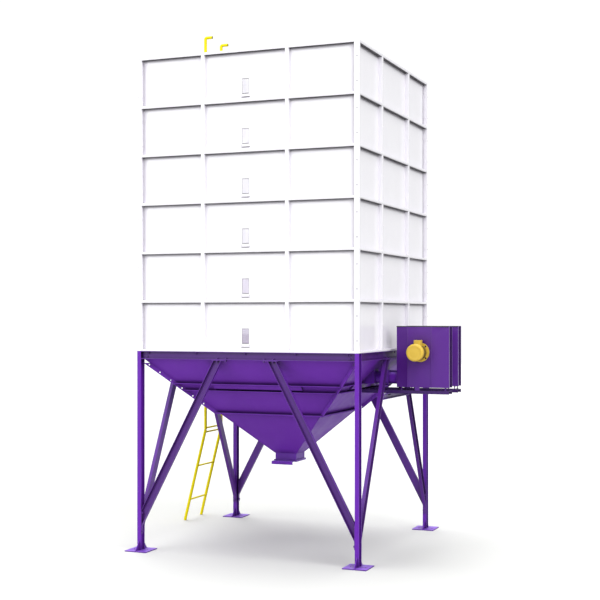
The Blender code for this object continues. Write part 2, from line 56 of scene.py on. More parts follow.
def shader_node(tree, kind, inputs=None, **settings):
    """One node of a material. An input is a socket to link from, or the value of that input."""
    made = tree.nodes.new(kind)
    for name, value in settings.items():
        setattr(made, name, value)
    for key, value in (inputs or {}).items():
        if isinstance(value, bpy.types.NodeSocket):
            tree.links.new(value, made.inputs[key])
        else:
            made.inputs[key].default_value = value
    return made


def noise(tree, place, scale, detail=2.0, stretch=(1, 1, 1)):
    """Noise of this many waves a metre over the piece, drawn out along an axis where stretch is small."""
    drawn = shader_node(tree, "ShaderNodeMapping", {"Vector": place, "Scale": stretch})
    return shader_node(
        tree, "ShaderNodeTexNoise", {"Vector": drawn.outputs[0], "Scale": scale, "Detail": detail}
    ).outputs["Fac"]


def ramp(tree, value, start, end, low=0.0, high=1.0):
    """A number that goes from low to high while the value goes from start to end."""
    limits = {"From Min": start, "From Max": end, "To Min": low, "To Max": high}
    return shader_node(tree, "ShaderNodeMapRange", {"Value": value, **limits}).outputs[0]


def spread(tree, factor, low, high):
    """A noise value of 0.3 to 0.7 spread over low to high."""
    return ramp(tree, factor, 0.3, 0.7, low, high)


def product(tree, first, second):
    """Two numbers multiplied."""
    return shader_node(tree, "ShaderNodeMath", {0: first, 1: second}, operation="MULTIPLY").outputs[0]


def mixed(tree, factor, first, second):
    """A colour that goes from the first to the second with the factor."""
    made = shader_node(tree, "ShaderNodeMix", data_type="RGBA")
    for key, value in ((0, factor), (6, first), (7, second)):
        if isinstance(value, bpy.types.NodeSocket):
            tree.links.new(value, made.inputs[key])
        else:
            made.inputs[key].default_value = value if key == 0 else (*value, 1.0)
    return made.outputs[2]


def blank_material(name):
    """A new material, with its tree, its shader and the place on the piece, which its patterns read."""
    made = bpy.data.materials.new(name)
    made.use_nodes = True
    tree = made.node_tree
    place = shader_node(tree, "ShaderNodeTexCoord").outputs["Object"]
    return made, tree, tree.nodes["Principled BSDF"], place


def coating(
    name, colour, shade, dust_and_top_light, roughness, specular=0.5, peel=0.00012, wave=0.0,
    rub=0.35, top_share=0.22, recess_shade=0.0, recess_shade_colour=(0.1, 0.1, 0.1),
):
    """A sprayed coat on steel.

    The colour drifts to its shade in clouds and faint runs down the piece. Faces that look up take the
    colour dust_and_top_light, by the share top_share: dust on most coats, and painted light on the tops of
    the purple ones. Edges are rubbed paler, by the share rub. The surface has the orange peel of sprayed
    powder, peel metres high. Corners and recesses get painted shade of the colour recess_shade_colour, up
    to the share recess_shade. wave is the height in metres of the slow dents of a thin sheet.
    """
    made, tree, shader, place = blank_material(name)
    surface = shader_node(tree, "ShaderNodeNewGeometry")
    clouds = spread(tree, noise(tree, place, 1.3, 4.0), 0.0, 0.7)
    runs = spread(tree, noise(tree, place, 9.0, 5.0, (1, 1, 0.06)), 0.0, 0.55)
    tone = mixed(tree, product(tree, clouds, runs), colour, shade)
    # Faces that look up take the colour dust_and_top_light: dust on most coats, painted light on the tops
    # of the purple ones.
    facing = shader_node(tree, "ShaderNodeSeparateXYZ", {0: surface.outputs["Normal"]}).outputs["Z"]
    patches = spread(tree, noise(tree, place, 7.0, 6.0), 0.3, 1.0)
    dust_and_top_light_share = product(tree, ramp(tree, facing, 0.5, 1.0, 0.0, top_share), patches)
    tone = mixed(tree, dust_and_top_light_share, tone, dust_and_top_light)
    soft = shader_node(tree, "ShaderNodeBevel", {"Radius": 0.004}, samples=4)
    turn = shader_node(
        tree, "ShaderNodeVectorMath",
        {0: soft.outputs[0], 1: surface.outputs["Normal"]}, operation="DOT_PRODUCT",
    ).outputs["Value"]
    rubbed = product(tree, ramp(tree, turn, 0.99, 0.80, 0.0, rub), patches)
    pale = tuple(min(1.0, 0.75 * c + 0.16) for c in colour)
    tone = mixed(tree, rubbed, tone, pale)
    # Painted shade: where the ambient occlusion finds the surface closed in, the colour darkens towards
    # recess_shade_colour.
    if recess_shade:
        openness = shader_node(tree, "ShaderNodeAmbientOcclusion", {"Distance": 0.16}, samples=6)
        painted_recess_shade = ramp(tree, openness.outputs["AO"], 0.95, 0.30, 0.0, recess_shade)
        tone = mixed(tree, painted_recess_shade, tone, recess_shade_colour)
    tree.links.new(tone, shader.inputs["Base Color"])
    gloss = spread(tree, noise(tree, place, 5.0, 3.0), roughness - 0.05, roughness + 0.07)
    tree.links.new(gloss, shader.inputs["Roughness"])
    shader.inputs["Specular IOR Level"].default_value = specular
    grain = noise(tree, place, 420.0, 1.0)
    bump = shader_node(tree, "ShaderNodeBump", {"Height": grain, "Strength": 1.0, "Distance": peel})
    if wave:
        dents = noise(tree, place, 2.4, 1.0)
        bump = shader_node(
            tree, "ShaderNodeBump",
            {"Height": dents, "Strength": 1.0, "Distance": wave, "Normal": bump.outputs[0]},
        )
    tree.links.new(bump.outputs[0], shader.inputs["Normal"])
    return made


def quads(rows, columns, loop=False):
    """Faces of a grid of points: each joins a point, its row neighbour and the two in the next row.

    A row always closes on itself. The last row joins the first one when loop is set.
    """
    r = np.arange(rows if loop else rows - 1)[:, None] * columns
    c = np.arange(columns)[None, :]
    after, above = (c + 1) % columns, (r + columns) % (rows * columns)
    return np.stack([r + c, r + after, above + after, above + c], -1).reshape(-1, 4)


def skin(grid, loop=False):
    """A part made of rings of points: quads between the rings, and a flat face on the first and last."""
    rows, columns = grid.shape[:2]
    faces = [quads(rows, columns, loop)]
    if not loop:
        ring = np.arange(columns)[None, :]
        faces += [ring[:, ::-1], ring + (rows - 1) * columns]
    return grid.reshape(-1, 3), faces


def together(*parts):
    """Several parts as one: points one after the other, and faces counted on."""
    starts = np.cumsum([0] + [len(points) for points, _ in parts])
    faces = [face + start for (_, part), start in zip(parts, starts) for face in part]
    return np.concatenate([points for points, _ in parts]), faces


def copied(part, points_of_copy):
    """The part once for each copy: points_of_copy is an array of copies by points by 3."""
    points, faces = part
    count = len(points_of_copy)
    step = (np.arange(count) * len(points))[:, None, None]
    return points_of_copy.reshape(-1, 3), [(face[None] + step).reshape(-1, face.shape[1]) for face in faces]


def moved(part, places):
    """The part once at each place, by adding the place to its points."""
    return copied(part, part[0][None] + np.asarray(places, float)[:, None])


def turned(profile, sides):
    """A profile of (radius, height) pairs turned about +Z: point = (r cos t, r sin t, h)."""
    radius, height = np.asarray(profile, float).T
    t = np.arange(sides) * 2 * np.pi / sides
    grid = np.stack(
        [radius[:, None] * np.cos(t), radius[:, None] * np.sin(t), height[:, None] + 0 * t], -1
    )
    return skin(grid)


def tube(path, radius, sides=10):
    """A circle carried along a path, its plane square to the path.

    The circle's first axis is kept as near as can be to one fixed direction, so that it doesn't twist.
    radius is one value or one for each point of the path.
    """
    path = np.asarray(path, float)
    along = np.gradient(path, axis=0)
    along /= np.linalg.norm(along, axis=1, keepdims=True)
    spread_axis = np.abs(along).mean(0)
    fixed = np.eye(3)[int(np.argmin(spread_axis))]
    u = np.cross(along, fixed)
    u /= np.linalg.norm(u, axis=1, keepdims=True)
    v = np.cross(along, u)
    t = np.arange(sides) * 2 * np.pi / sides
    r = np.broadcast_to(np.asarray(radius, float), len(path))[:, None, None]
    grid = path[:, None] + r * (np.cos(t)[:, None] * u[:, None] + np.sin(t)[:, None] * v[:, None])
    return skin(grid)


def weld(start, end, size=0.004):
    """A fillet weld along a line: a six-sided bead whose radius swells once for each drop of the weld."""
    start, end, drop_length = np.asarray(start, float), np.asarray(end, float), 0.012
    drops = max(2, int(np.linalg.norm(end - start) / drop_length))
    s = np.linspace(0, 1, 3 * drops + 1)
    radius = size * (0.86 + 0.14 * np.cos(2 * np.pi * s * drops))
    radius[[0, -1]] *= 0.4
    return tube(start + s[:, None] * (end - start), radius, 6)


sharp_edge = np.radians(32.0)


def piece(name, part, finish, stands_for=()):
    """An object of the silo from a part: shaded smooth up to a sharp edge, riding on the one body."""
    points, faces = part
    mesh = bpy.data.meshes.new(name)
    mesh.from_pydata((points + (axis_x, 0, 0)).tolist(), [], [f for face in faces for f in face.tolist()])
    mesh.shade_smooth()
    mesh.set_sharp_from_angle(angle=sharp_edge)
    mesh.materials.append(finish)
    made = bpy.data.objects.new(name, mesh)
    bpy.context.scene.collection.objects.link(made)
    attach(made, "root")
    if stands_for:
        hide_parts(*stands_for)
    return made


def painted(names, finish):
    """The frame's own solids of these names get this finish."""
    for name in names:
        nodes[name].data.materials.clear()
        nodes[name].data.materials.append(finish)


# The purple coat's dust colour is a light violet: painted light on the tops of legs and base plates. Its
# recess colour is painted shade.
purple = coating(
    "purple_powder_coat", (0.120, 0.010, 0.368), (0.094, 0.007, 0.306), (0.34, 0.17, 0.78), 0.34, 0.28,
    rub=0.16, top_share=1.0, recess_shade=0.75, recess_shade_colour=(0.036, 0.013, 0.068),
)
# A darker copy of the purple coat: painted shade on the ring beams, the braces and the fan housings.
purple_painted_shade = coating(
    "purple_coat_painted_shade", (0.094, 0.015, 0.248), (0.070, 0.012, 0.192), (0.19, 0.10, 0.36), 0.36, 0.34,
    rub=0.16, recess_shade=0.75, recess_shade_colour=(0.030, 0.012, 0.056),
)
# A near-black coat: painted shadow, set where only shade would be, in the anchor holes and the mouths of
# the air slots.
shadow = coating("painted_shadow_black", (0.006, 0.002, 0.014), (0.004, 0.002, 0.010), (0.02, 0.02, 0.03), 0.85, 0.1)
legs = ("leg_front_left", "leg_front_right", "leg_back_right", "leg_back_left")
painted(legs, purple)
leg_width, leg_depth, base_thick, web_half, web_weld_half = 0.052, 0.100, 0.012, 0.004, 0.006
gusset_reach, gusset_height, gusset_nose, thin_weld = 0.100, 0.125, 0.008, 0.003
anchor_hole_r, anchor_off, hole_shade_depth = 0.009, 0.095, 0.003
leg_welds, hole_shade = [], []
# A near-black disc in each anchor hole paints the shade at the hole's bottom.
hole_shade_disc = turned([(anchor_hole_r, 0), (anchor_hole_r, 0.001)], 12)
for name in legs:
    low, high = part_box(name)
    x, y = (low.x + high.x) / 2 - axis_x, (low.y + high.y) / 2
    hole_shade_z = base_thick - hole_shade_depth
    hole_shade.append(moved(hole_shade_disc, [(x + side * anchor_off, y, hole_shade_z) for side in (-1, 1)]))
    for side in (-1, 1):
        flange_y = y + side * leg_depth / 2
        for edge in (-1, 1):
            web_x = x + edge * web_half
            root = (web_x, flange_y, base_thick)
            leg_welds += [
                weld((x + edge * web_weld_half, flange_y, base_thick),
                     (x + edge * leg_width / 2, flange_y, base_thick)),
                weld(root, (web_x, flange_y + side * gusset_reach, base_thick), thin_weld),
                weld(root, (web_x, flange_y, base_thick + gusset_height - gusset_nose), thin_weld),
            ]
piece("leg_welds", together(*leg_welds), purple)
piece("anchor_hole_painted_shade", together(*hole_shade), shadow)

# Ring beam
# Four channels, open sides outwards, are bolted between the legs and carry the bin's lowest flange.
# The nuts of the bolts that hold the bin hang under the top flange of each channel.

# The ring beams take the darker copy of the purple coat: painted shade.
painted(["ring_beam_front", "ring_beam_right", "ring_beam_back", "ring_beam_left"], purple_painted_shade)
ring_low, ring_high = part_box("ring_beam_front")
ring_bottom, ring_top = ring_low.z, ring_high.z
channel_wall, sheet_face = 0.008, 1.448
bolt_pitch, bolt_line, end_bolt_x, end_bolt_half = 0.675, -1.474, 1.375, 0.022
rightward, leftward, backward = (1, 0, 0), (-1, 0, 0), (0, 1, 0)
forward, upward, downward = (0, -1, 0), (0, 0, 1), (0, 0, -1)


def around(part, walls=(0, 1, 2, 3)):
    """The part on each wall: its points turned by that many quarter turns about the bin's axis."""
    angle = np.asarray(walls) * np.pi / 2
    c, s = np.round(np.cos(angle))[:, None], np.round(np.sin(angle))[:, None]
    x, y, z = part[0].T
    return copied(part, np.stack([c * x - s * y, s * x + c * y, z + 0 * c], -1))


def mirrored(part):
    """The part and its image across the plane x = 0. The image's faces run backwards, so they look out."""
    points, faces = part
    return together(part, (points * (-1, 1, 1), [face[:, ::-1] for face in faces]))


def aimed(part, places, out):
    """The part once at each place, its own +Z turned to the direction out, the same or one for each."""
    places = np.atleast_2d(np.asarray(places, float))
    w = np.broadcast_to(np.asarray(out, float), places.shape)
    w = w / np.linalg.norm(w, axis=1, keepdims=True)
    helper = np.where(np.abs(w[:, 2:]) > 0.9, (0.0, 1.0, 0.0), (0.0, 0.0, 1.0))
    u = np.cross(helper, w)
    u /= np.linalg.norm(u, axis=1, keepdims=True)
    v = np.cross(w, u)
    x, y, z = part[0].T
    grid = places[:, None] + x[:, None] * u[:, None] + y[:, None] * v[:, None] + z[:, None] * w[:, None]
    return copied(part, grid)


def hexagon_bolt(size, shank=0.0):
    """A hexagon head of this thread size on its washer, standing on z = 0, with a thread end if asked."""
    washer = turned([(1.05 * size, 0), (1.05 * size, 0.18 * size)], 14)
    head = turned([(0.86 * size, 0.18 * size), (0.86 * size, 0.72 * size), (0.72 * size, 0.84 * size)], 6)
    parts = [washer, head]
    if shank:
        thread_end = [(0.5 * size, 0.84 * size), (0.5 * size, shank), (0.4 * size, shank + 0.001)]
        parts.append(turned(thread_end, 8))
    return together(*parts)


under_flange, web_face = ring_top - channel_wall, -sheet_face - channel_wall
ring_middle = (ring_top + ring_bottom) / 2
hanging = aimed(
    hexagon_bolt(0.013, 0.028), [(k * bolt_pitch, bolt_line, under_flange) for k in range(-2, 3)], downward
)
end_bolts = aimed(
    hexagon_bolt(0.014),
    [(end_bolt_x, web_face, ring_middle + dz) for dz in (-end_bolt_half, end_bolt_half)], forward,
)
piece("ring_beam_bolts", around(together(hanging, mirrored(end_bolts))), purple_painted_shade)

# Braces
# Two channels lean from each wall's ring beam out to the legs, with their open sides outwards.
# Each has a plate on top, bolted up to the ring beam, and a shoe at its foot, bolted to the leg.

brace_nodes = [name for name in nodes if name.startswith("brace_")]
# The braces take the darker copy of the purple coat: painted shade.
painted(brace_nodes, purple_painted_shade)
# Half is half of the bin's side, and a hair is the gap that keeps two faces out of one plane.
half, hair, plate_thick, brace_bolt_y = 1.5, 0.0005, 0.010, -1.478
plate_bolt_x, plate_seam_x, plate_seam_y = (0.26, 0.38), (0.30, 0.43), -1.453
shoe_stand, shoe_bolt_z, shoe_seam_z, shoe_seam_y = 0.0085, (0.255, 0.482), (0.238, 0.500), -1.455
plate_low = ring_bottom - plate_thick
heads_z, nuts_z = ring_bottom + channel_wall, plate_low - hair
above = aimed(hexagon_bolt(0.016), [(x, brace_bolt_y, heads_z) for x in plate_bolt_x], upward)
below = aimed(hexagon_bolt(0.016, 0.024), [(x, brace_bolt_y, nuts_z) for x in plate_bolt_x], downward)
piece("brace_plate_bolts", around(mirrored(together(above, below))), purple_painted_shade)
shoe_bolts, shoe_welds = [], []
for wall, leg_inset in ((0, leg_width), (1, leg_depth)):
    shoe_x = half - leg_inset - shoe_stand
    bolts = aimed(hexagon_bolt(0.016), [(shoe_x, brace_bolt_y, z) for z in shoe_bolt_z], leftward)
    shoe_bolts.append(around(mirrored(bolts), (wall, wall + 2)))
    seam = weld(*[(shoe_x, shoe_seam_y, z) for z in shoe_seam_z])
    shoe_welds.append(around(mirrored(seam), (wall, wall + 2)))
piece("brace_shoe_bolts", together(*shoe_bolts), purple_painted_shade)
plate_seam = weld(*[(x, plate_seam_y, plate_low) for x in plate_seam_x])
piece("brace_welds", together(around(mirrored(plate_seam)), *shoe_welds), purple_painted_shade)

# Hopper
# A 45 degree pyramid in three lengths of 3 mm plate, joined at flanges, has drilled fins along its corners.
# Between the two upper flanges each side has a hooded slot, through which the fans' air enters the grain.

# A lighter copy of the purple coat with less sheen: painted light on the downward-facing hopper slopes,
# hoods and seams. Its dust colour is painted light on tops, its recess colour painted shade.
purple_painted_light = coating(
    "purple_coat_painted_light", (0.184, 0.036, 0.470), (0.150, 0.028, 0.390), (0.34, 0.17, 0.78), 0.48, 0.15,
    rub=0.16, top_share=1.0, recess_shade=0.75, recess_shade_colour=(0.036, 0.013, 0.068),
)
painted(["hopper_upper", "hopper_middle", "hopper_lower"], purple_painted_light)
apex, joint_high, joint_middle = 1.022, 2.130, 2.040
slot_half, hood_top, hood_foot, hood_proud = 0.61, joint_high - 0.001, joint_high - 0.054, 0.022
slot_low, mouth_rise, hood_flare, hood_thick, wide_weld = joint_middle + 0.0085, 0.012, 0.010, 0.004, 0.005
seam_stretches = ((1.176, 1.720), (1.740, 2.038), (2.050, 2.128), (2.140, 2.38))


def bar(outline, start, end, across, up):
    """An outline of (a, b) points carried straight from start to end, a along across and b along up."""
    outline, ends = np.asarray(outline, float), np.asarray([start, end], float)
    side = np.outer(outline[:, 0], across) + np.outer(outline[:, 1], up)
    if np.dot(np.cross(across, up), ends[1] - ends[0]) < 0:
        side = side[::-1]
    return skin(ends[:, None] + side[None])


def face_of_slope(z, proud=0.0):
    """The -Y of the hopper's front slope at height z, with a piece standing this proud of it."""
    return -(z - apex + proud)


def slope_bar(outline, from_x, to_x):
    """A bar along the front slope between two x. Its outline's points are (height, proud of it, drop)."""
    points = [(face_of_slope(z, proud), z - drop) for z, proud, drop in outline]
    return bar(points, (from_x, 0, 0), (to_x, 0, 0), backward, upward)


hood = slope_bar(
    [(hood_top, -0.002, 0), (hood_top, hood_proud - hood_thick, 0.002),
     (hood_foot, hood_proud + hood_flare, 0), (hood_foot, hood_proud + 0.006, 0.001),
     (hood_top, hood_thick, 0.006)],
    -slot_half, slot_half,
)
cheek = slope_bar(
    [(hood_top, 0, 0), (hood_top, hood_proud, 0.001), (hood_foot, hood_proud + hood_flare, 0),
     (hood_foot, -0.001, 0)],
    slot_half - 0.003, slot_half,
)
piece("air_slot_hoods", around(together(hood, mirrored(cheek))), purple_painted_light)
# A near-black bar closes each slot's mouth: painted shadow inside the slot.
mouth = slope_bar(
    [(hood_foot, 0, -mouth_rise), (hood_foot, hood_thick, -mouth_rise),
     (slot_low, hood_thick, 0), (slot_low, 0, 0)],
    hood_thick - slot_half, slot_half - hood_thick,
)
piece("air_slot_mouths", around(mouth), shadow)
seams = [weld(*[(z - apex, face_of_slope(z), z) for z in stretch], wide_weld) for stretch in seam_stretches]
piece("hopper_corner_seams", around(together(*seams)), purple_painted_light)

# Outlet
# A short square throat is welded under the hopper, with two rails in which a slide plate shuts the outlet.
# The slide plate stands out to the front, where its edge is turned down and has a rod loop to pull it by.

painted(["outlet_throat", "outlet_slide_plate"], purple)
throat_half, throat_top, grip_half, grip_out, grip_rise, grip_r = 0.150, 1.172, 0.055, 0.010, 0.014, 0.003
collar = weld(*[(x, -throat_half, throat_top) for x in (-throat_half, throat_half)], wide_weld)
piece("outlet_collar_weld", around(collar), purple)
slide_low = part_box("outlet_slide_plate")[0]
grip_z, grip_y, grip_turn = slide_low.z + grip_rise, slide_low.y - hair, np.linspace(0, np.pi, 13)
grip_path = np.stack(
    [grip_half * np.cos(grip_turn), grip_y - grip_out * np.sin(grip_turn), 0 * grip_turn + grip_z], -1
)
piece("slide_plate_grip", tube(grip_path, grip_r, 8), purple)

# Bin tiers
# Six tiers of thin steel sheet, white outside and in, each of four walls with folded upper and lower edges.
# Hollow ribs stiffen the sheets, and a bolted corner post with a stepped 45 degree face closes each corner.

# The white coat's lavender recess colour is painted shade under the tier joints and beside the ribs and
# posts.
white = coating(
    "white_powder_coat", (0.880, 0.872, 0.905), (0.850, 0.838, 0.885), (0.74, 0.72, 0.74), 0.17,
    wave=0.0012, recess_shade=0.26, recess_shade_colour=(0.62, 0.56, 0.70),
)
# Dark grey rubber for the window beads, duct gaskets and cable glands. The same grey makes dark strips that
# paint the shade under the tier joints, under the drip lips and along the fans' top edges.
rubber_and_shade_grey = coating(
    "rubber_and_painted_shade_strip", (0.040, 0.036, 0.044), (0.028, 0.025, 0.030), (0.12, 0.12, 0.12), 0.6
)
tier_height = bin_high.z - bin_low.z
post, rib_face, rib_x, rib_half = 1.440, 1.4985, 0.570, 0.023
foot_fold, head_fold, shade_strip_height, shade_strip_back, shade_strip_gap = 0.025, 0.006, 0.005, 0.010, 0.0003
sheet_thick, bulge, tuck, fold_clear = 0.003, 0.0022, 0.001, 0.002
inner_face = -sheet_face + sheet_thick
pane_half, pane_low, pane_high = 0.045, 0.108, 0.286


def eased(corners, radius, steps=3):
    """A closed outline with its corners rounded.

    Each corner P becomes the parabola (1-s)^2 A + 2s(1-s) P + s^2 C, where A and C lie one radius away from
    P on the two sides that meet there.
    """
    p = np.asarray(corners, float)
    back, ahead = np.roll(p, 1, 0) - p, np.roll(p, -1, 0) - p
    a = p + back * radius / np.linalg.norm(back, axis=1, keepdims=True)
    c = p + ahead * radius / np.linalg.norm(ahead, axis=1, keepdims=True)
    s = np.linspace(0, 1, steps + 1)[None, :, None]
    return ((1 - s) ** 2 * a[:, None] + 2 * s * (1 - s) * p[:, None] + s**2 * c[:, None]).reshape(-1, 2)


def oblong(low, high, radius=0.002, along="z"):
    """A straight bar between two corners of its box, with its four long edges rounded."""
    low, high = np.asarray(low, float), np.asarray(high, float)
    k = "xyz".index(along)
    i, j = (k + 1) % 3, (k + 2) % 3
    unit = np.eye(3)
    corners = [(low[i], low[j]), (high[i], low[j]), (high[i], high[j]), (low[i], high[j])]
    return bar(eased(corners, radius, 2), unit[k] * low[k], unit[k] * high[k], unit[i], unit[j])


def open_quads(rows, columns):
    """Faces of a grid of points that is open along all four edges."""
    first = np.arange(rows - 1)[:, None] * columns + np.arange(columns - 1)
    return np.stack([first, first + 1, first + columns + 1, first + columns], -1).reshape(-1, 4)


def sheet_grid(with_window):
    """The outside of one wall's sheet between its posts.

    Point = (x, -(sheet_face + bulge * bay * sin(pi z / tier_height)^2), z), so the sheet swells a little.
    bay is half a wave of x from rib to rib, and another from each rib to its post. Lines of the grid run
    along the edges of the window, whose cells are left out.
    """
    across = np.unique(np.r_[
        np.linspace(-post - tuck, -rib_x, 11), np.linspace(-rib_x, -pane_half, 10), [0.0],
        np.linspace(pane_half, rib_x, 10), np.linspace(rib_x, post + tuck, 11),
    ])
    up = np.unique(np.r_[
        np.linspace(fold_clear, pane_low, 4), np.linspace(pane_low, pane_high, 5),
        np.linspace(pane_high, tier_height - fold_clear, 8),
    ])
    x, z = np.meshgrid(across, up)
    middle_bay = np.cos(x / rib_x * np.pi / 2)
    side_bay = np.sin((np.abs(x) - rib_x) / (post - rib_x) * np.pi)
    bay = np.clip(np.where(np.abs(x) < rib_x, middle_bay, side_bay), 0, 1)
    y = -(sheet_face + bulge * bay * np.sin(z / tier_height * np.pi) ** 2)
    faces = open_quads(*x.shape)
    if with_window:
        points_x, points_z = x.ravel()[faces].mean(1), z.ravel()[faces].mean(1)
        hole = (np.abs(points_x) < pane_half) & (points_z > pane_low) & (points_z < pane_high)
        faces = faces[~hole]
    return np.stack([x, y, z], -1).reshape(-1, 3), [faces]


def thickened(made, thickness):
    """The object gets real sheet thickness, grown inwards from its outer face."""
    solid = made.modifiers.new("thickness", "SOLIDIFY")
    solid.thickness, solid.offset = thickness, -1.0


upright = [(0, 0, foot_fold - fold_clear), (0, 0, tier_height - fold_clear)]
rib_outline = eased(
    [(-rib_half, inner_face), (-rib_half, -rib_face), (rib_half, -rib_face), (rib_half, inner_face)], 0.004
)
ribs = moved(bar(rib_outline, *upright, rightward, backward), [(-rib_x, 0, 0), (rib_x, 0, 0)])
cut_near, step_x, step_y = 1.463, 1.4815, -1.480
post_outline = eased(
    [(post, -post), (post, -rib_face), (cut_near, -rib_face),
     (step_x, step_y), (rib_face, step_y), (rib_face, -post)],
    0.0016, 2,
)
corner_post = bar(post_outline, (0, 0, hair), (0, 0, tier_height - hair), rightward, backward)
head_bottom = tier_height - head_fold
foot = oblong((-post, -half, 0), (post, inner_face, foot_fold), 0.003, "x")
head = oblong((-post, -rib_face + hair, head_bottom), (post, inner_face, tier_height), 0.002, "x")
framing = around(together(ribs, corner_post, foot, head))
# Under each head fold, between ribs and posts, a dark strip paints the shade of the joint's shadow line.
shade_strip_low, shade_strip_high = head_bottom - shade_strip_height, head_bottom - shade_strip_gap
stretches = ((-post, -rib_x - rib_half), (-rib_x + rib_half, rib_x - rib_half), (rib_x + rib_half, post))
shade_strips = around(together(*[
    oblong((x0 + hair, -half + shade_strip_back, shade_strip_low), (x1 - hair, inner_face, shade_strip_high), 0.003, "x")
    for x0, x1 in stretches
]))
small_bolt = hexagon_bolt(0.009)
post_bolt_heights = (0.24 * tier_height, 0.72 * tier_height)
rib_bolt_z, rib_bolt_off = 0.56 * tier_height, 0.008
face_middle = ((cut_near + step_x) / 2, (step_y - rib_face) / 2)
zinc = coating(
    "zinc_plated_steel", (0.42, 0.41, 0.45), (0.34, 0.33, 0.37), (0.5, 0.5, 0.5), 0.35, peel=0.00005
)
post_bolts = around(aimed(small_bolt, [(*face_middle, z) for z in post_bolt_heights], (1, -1, 0)))
fixings = around(together(
    *[aimed(small_bolt, [(x, bolt_line, z) for z in post_bolt_heights], (-x, 0, 0)) for x in (post, -post)],
    aimed(small_bolt, [(x - rib_bolt_off, -rib_face, rib_bolt_z) for x in (-rib_x, rib_x)], forward),
))
front_sheet = sheet_grid(True)
other_sheets = around(sheet_grid(False), (1, 2, 3))
tiers = sorted(name for name in nodes if name.startswith("tier_"))
for number, name in enumerate(tiers, 1):
    lift = [(0, 0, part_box(name)[0].z)]
    sheets = moved(together(front_sheet, other_sheets), lift)
    thickened(piece(f"tier_{number}_sheets", sheets, white, [name]), sheet_thick)
    piece(f"tier_{number}_framing", moved(together(framing, fixings), lift), white)
    piece(f"tier_{number}_seals", moved(shade_strips, lift), rubber_and_shade_grey)
    piece(f"tier_{number}_post_bolts", moved(post_bolts, lift), zinc)

# Top rim
# An angle of folded steel runs round the top of the uppermost tier, its upright leg outside. It is coated
# white like the tiers, and bolted down to the top fold.

rim_low, rim_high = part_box("top_rim")
rim_wide, rim_fold, rim_leg, rim_bolt_y, rim_bolt_x, corner_cut = 0.060, 0.005, 0.006, -1.468, 1.30, 0.037


def looped(outline, reach, cut):
    """An outline of (out, z) points carried round the bin's square plan with cut corners.

    At each of the eight corners the outline is set along the line that halves the corner, so it keeps its
    width on both sides: point = corner + out * (sum of the two walls' normals) / (1 + their dot product).
    """
    outline = np.asarray(outline, float)
    angle = np.arange(8) * np.pi / 4
    normal = np.stack([np.cos(angle), np.sin(angle)], -1)
    cut_reach = (2 * reach - cut) / np.sqrt(2)
    far = np.where(np.arange(8) % 2 == 0, reach, cut_reach)
    n0, n1, d0, d1 = normal, np.roll(normal, -1, 0), far, np.roll(far, -1)
    det = (n0[:, 0] * n1[:, 1] - n0[:, 1] * n1[:, 0])[:, None]
    corner = np.stack([d0 * n1[:, 1] - d1 * n0[:, 1], n0[:, 0] * d1 - n1[:, 0] * d0], -1) / det
    mitre = (n0 + n1) / (1 + (n0 * n1).sum(1))[:, None]
    plan = corner[:, None] + outline[None, :, 0, None] * mitre[:, None]
    grid = np.concatenate([plan, np.broadcast_to(outline[None, :, 1, None], plan.shape[:2] + (1,))], -1)
    return skin(grid, loop=True)


angle_outline = eased(
    [(-rim_wide, rim_low.z), (-tuck, rim_low.z), (-tuck, rim_high.z), (-rim_leg, rim_high.z),
     (-rim_leg, rim_low.z + rim_fold), (-rim_wide, rim_low.z + rim_fold)],
    0.0012, 2,
)
rim_bolts_at = [(x, rim_bolt_y, rim_low.z + rim_fold) for x in np.linspace(-rim_bolt_x, rim_bolt_x, 9)]
rim_bolts = around(aimed(hexagon_bolt(0.012), rim_bolts_at, upward))
rim = together(looped(angle_outline, half, corner_cut), rim_bolts)
piece("top_rim_angle", rim, white, ["top_rim"])

# Sight windows
# A clear acrylic pane in a pressed white frame shows how full each tier is. The frame is screwed to the
# sheet over a rubber seal, and its lower edge is turned out as a drip lip.

frame_half, frame_low, frame_high, frame_thick, frame_wide = 0.070, 0.068, 0.313, 0.008, 0.024
drip_half, drip_out, drip_thick = 0.056, 0.018, 0.004
drip_shade_strip_half, drip_shade_strip_out, drip_shade_strip_z = 0.053, 0.012, (0.011, 0.0042)
seat, bead_in, bead_low, bead_high, pane_lap, pane_y = 0.0004, 0.0215, 0.036, 0.024, 0.002, (0.0015, 0.0045)
screw_x, screw_z, screw_seat, haze = 0.058, (0.088, 0.190, 0.300), 0.0002, 0.003
mark_left, mark_half, mark_y, mark_z = -0.034, 0.0016, (0.0052, 0.0046), (0.135, 0.265)


def acrylic(name, clear, clouded, below, level):
    """A clear plastic pane. A film of dust clouds it, and below this level it turns to the colour below."""
    made, tree, shader, place = blank_material(name)
    film = spread(tree, noise(tree, place, 30.0, 5.0, (1, 1, 0.3)), 0.0, 1.0)
    height = shader_node(tree, "ShaderNodeSeparateXYZ", {0: place}).outputs["Z"]
    under = ramp(tree, height, level + haze, level - haze)
    tone = mixed(tree, under, mixed(tree, film, clear, clouded), below)
    tree.links.new(tone, shader.inputs["Base Color"])
    tree.links.new(spread(tree, film, 0.03, 0.16), shader.inputs["Roughness"])
    shader.inputs["Transmission Weight"].default_value = 0.42
    shader.inputs["IOR"].default_value = 1.12
    return made


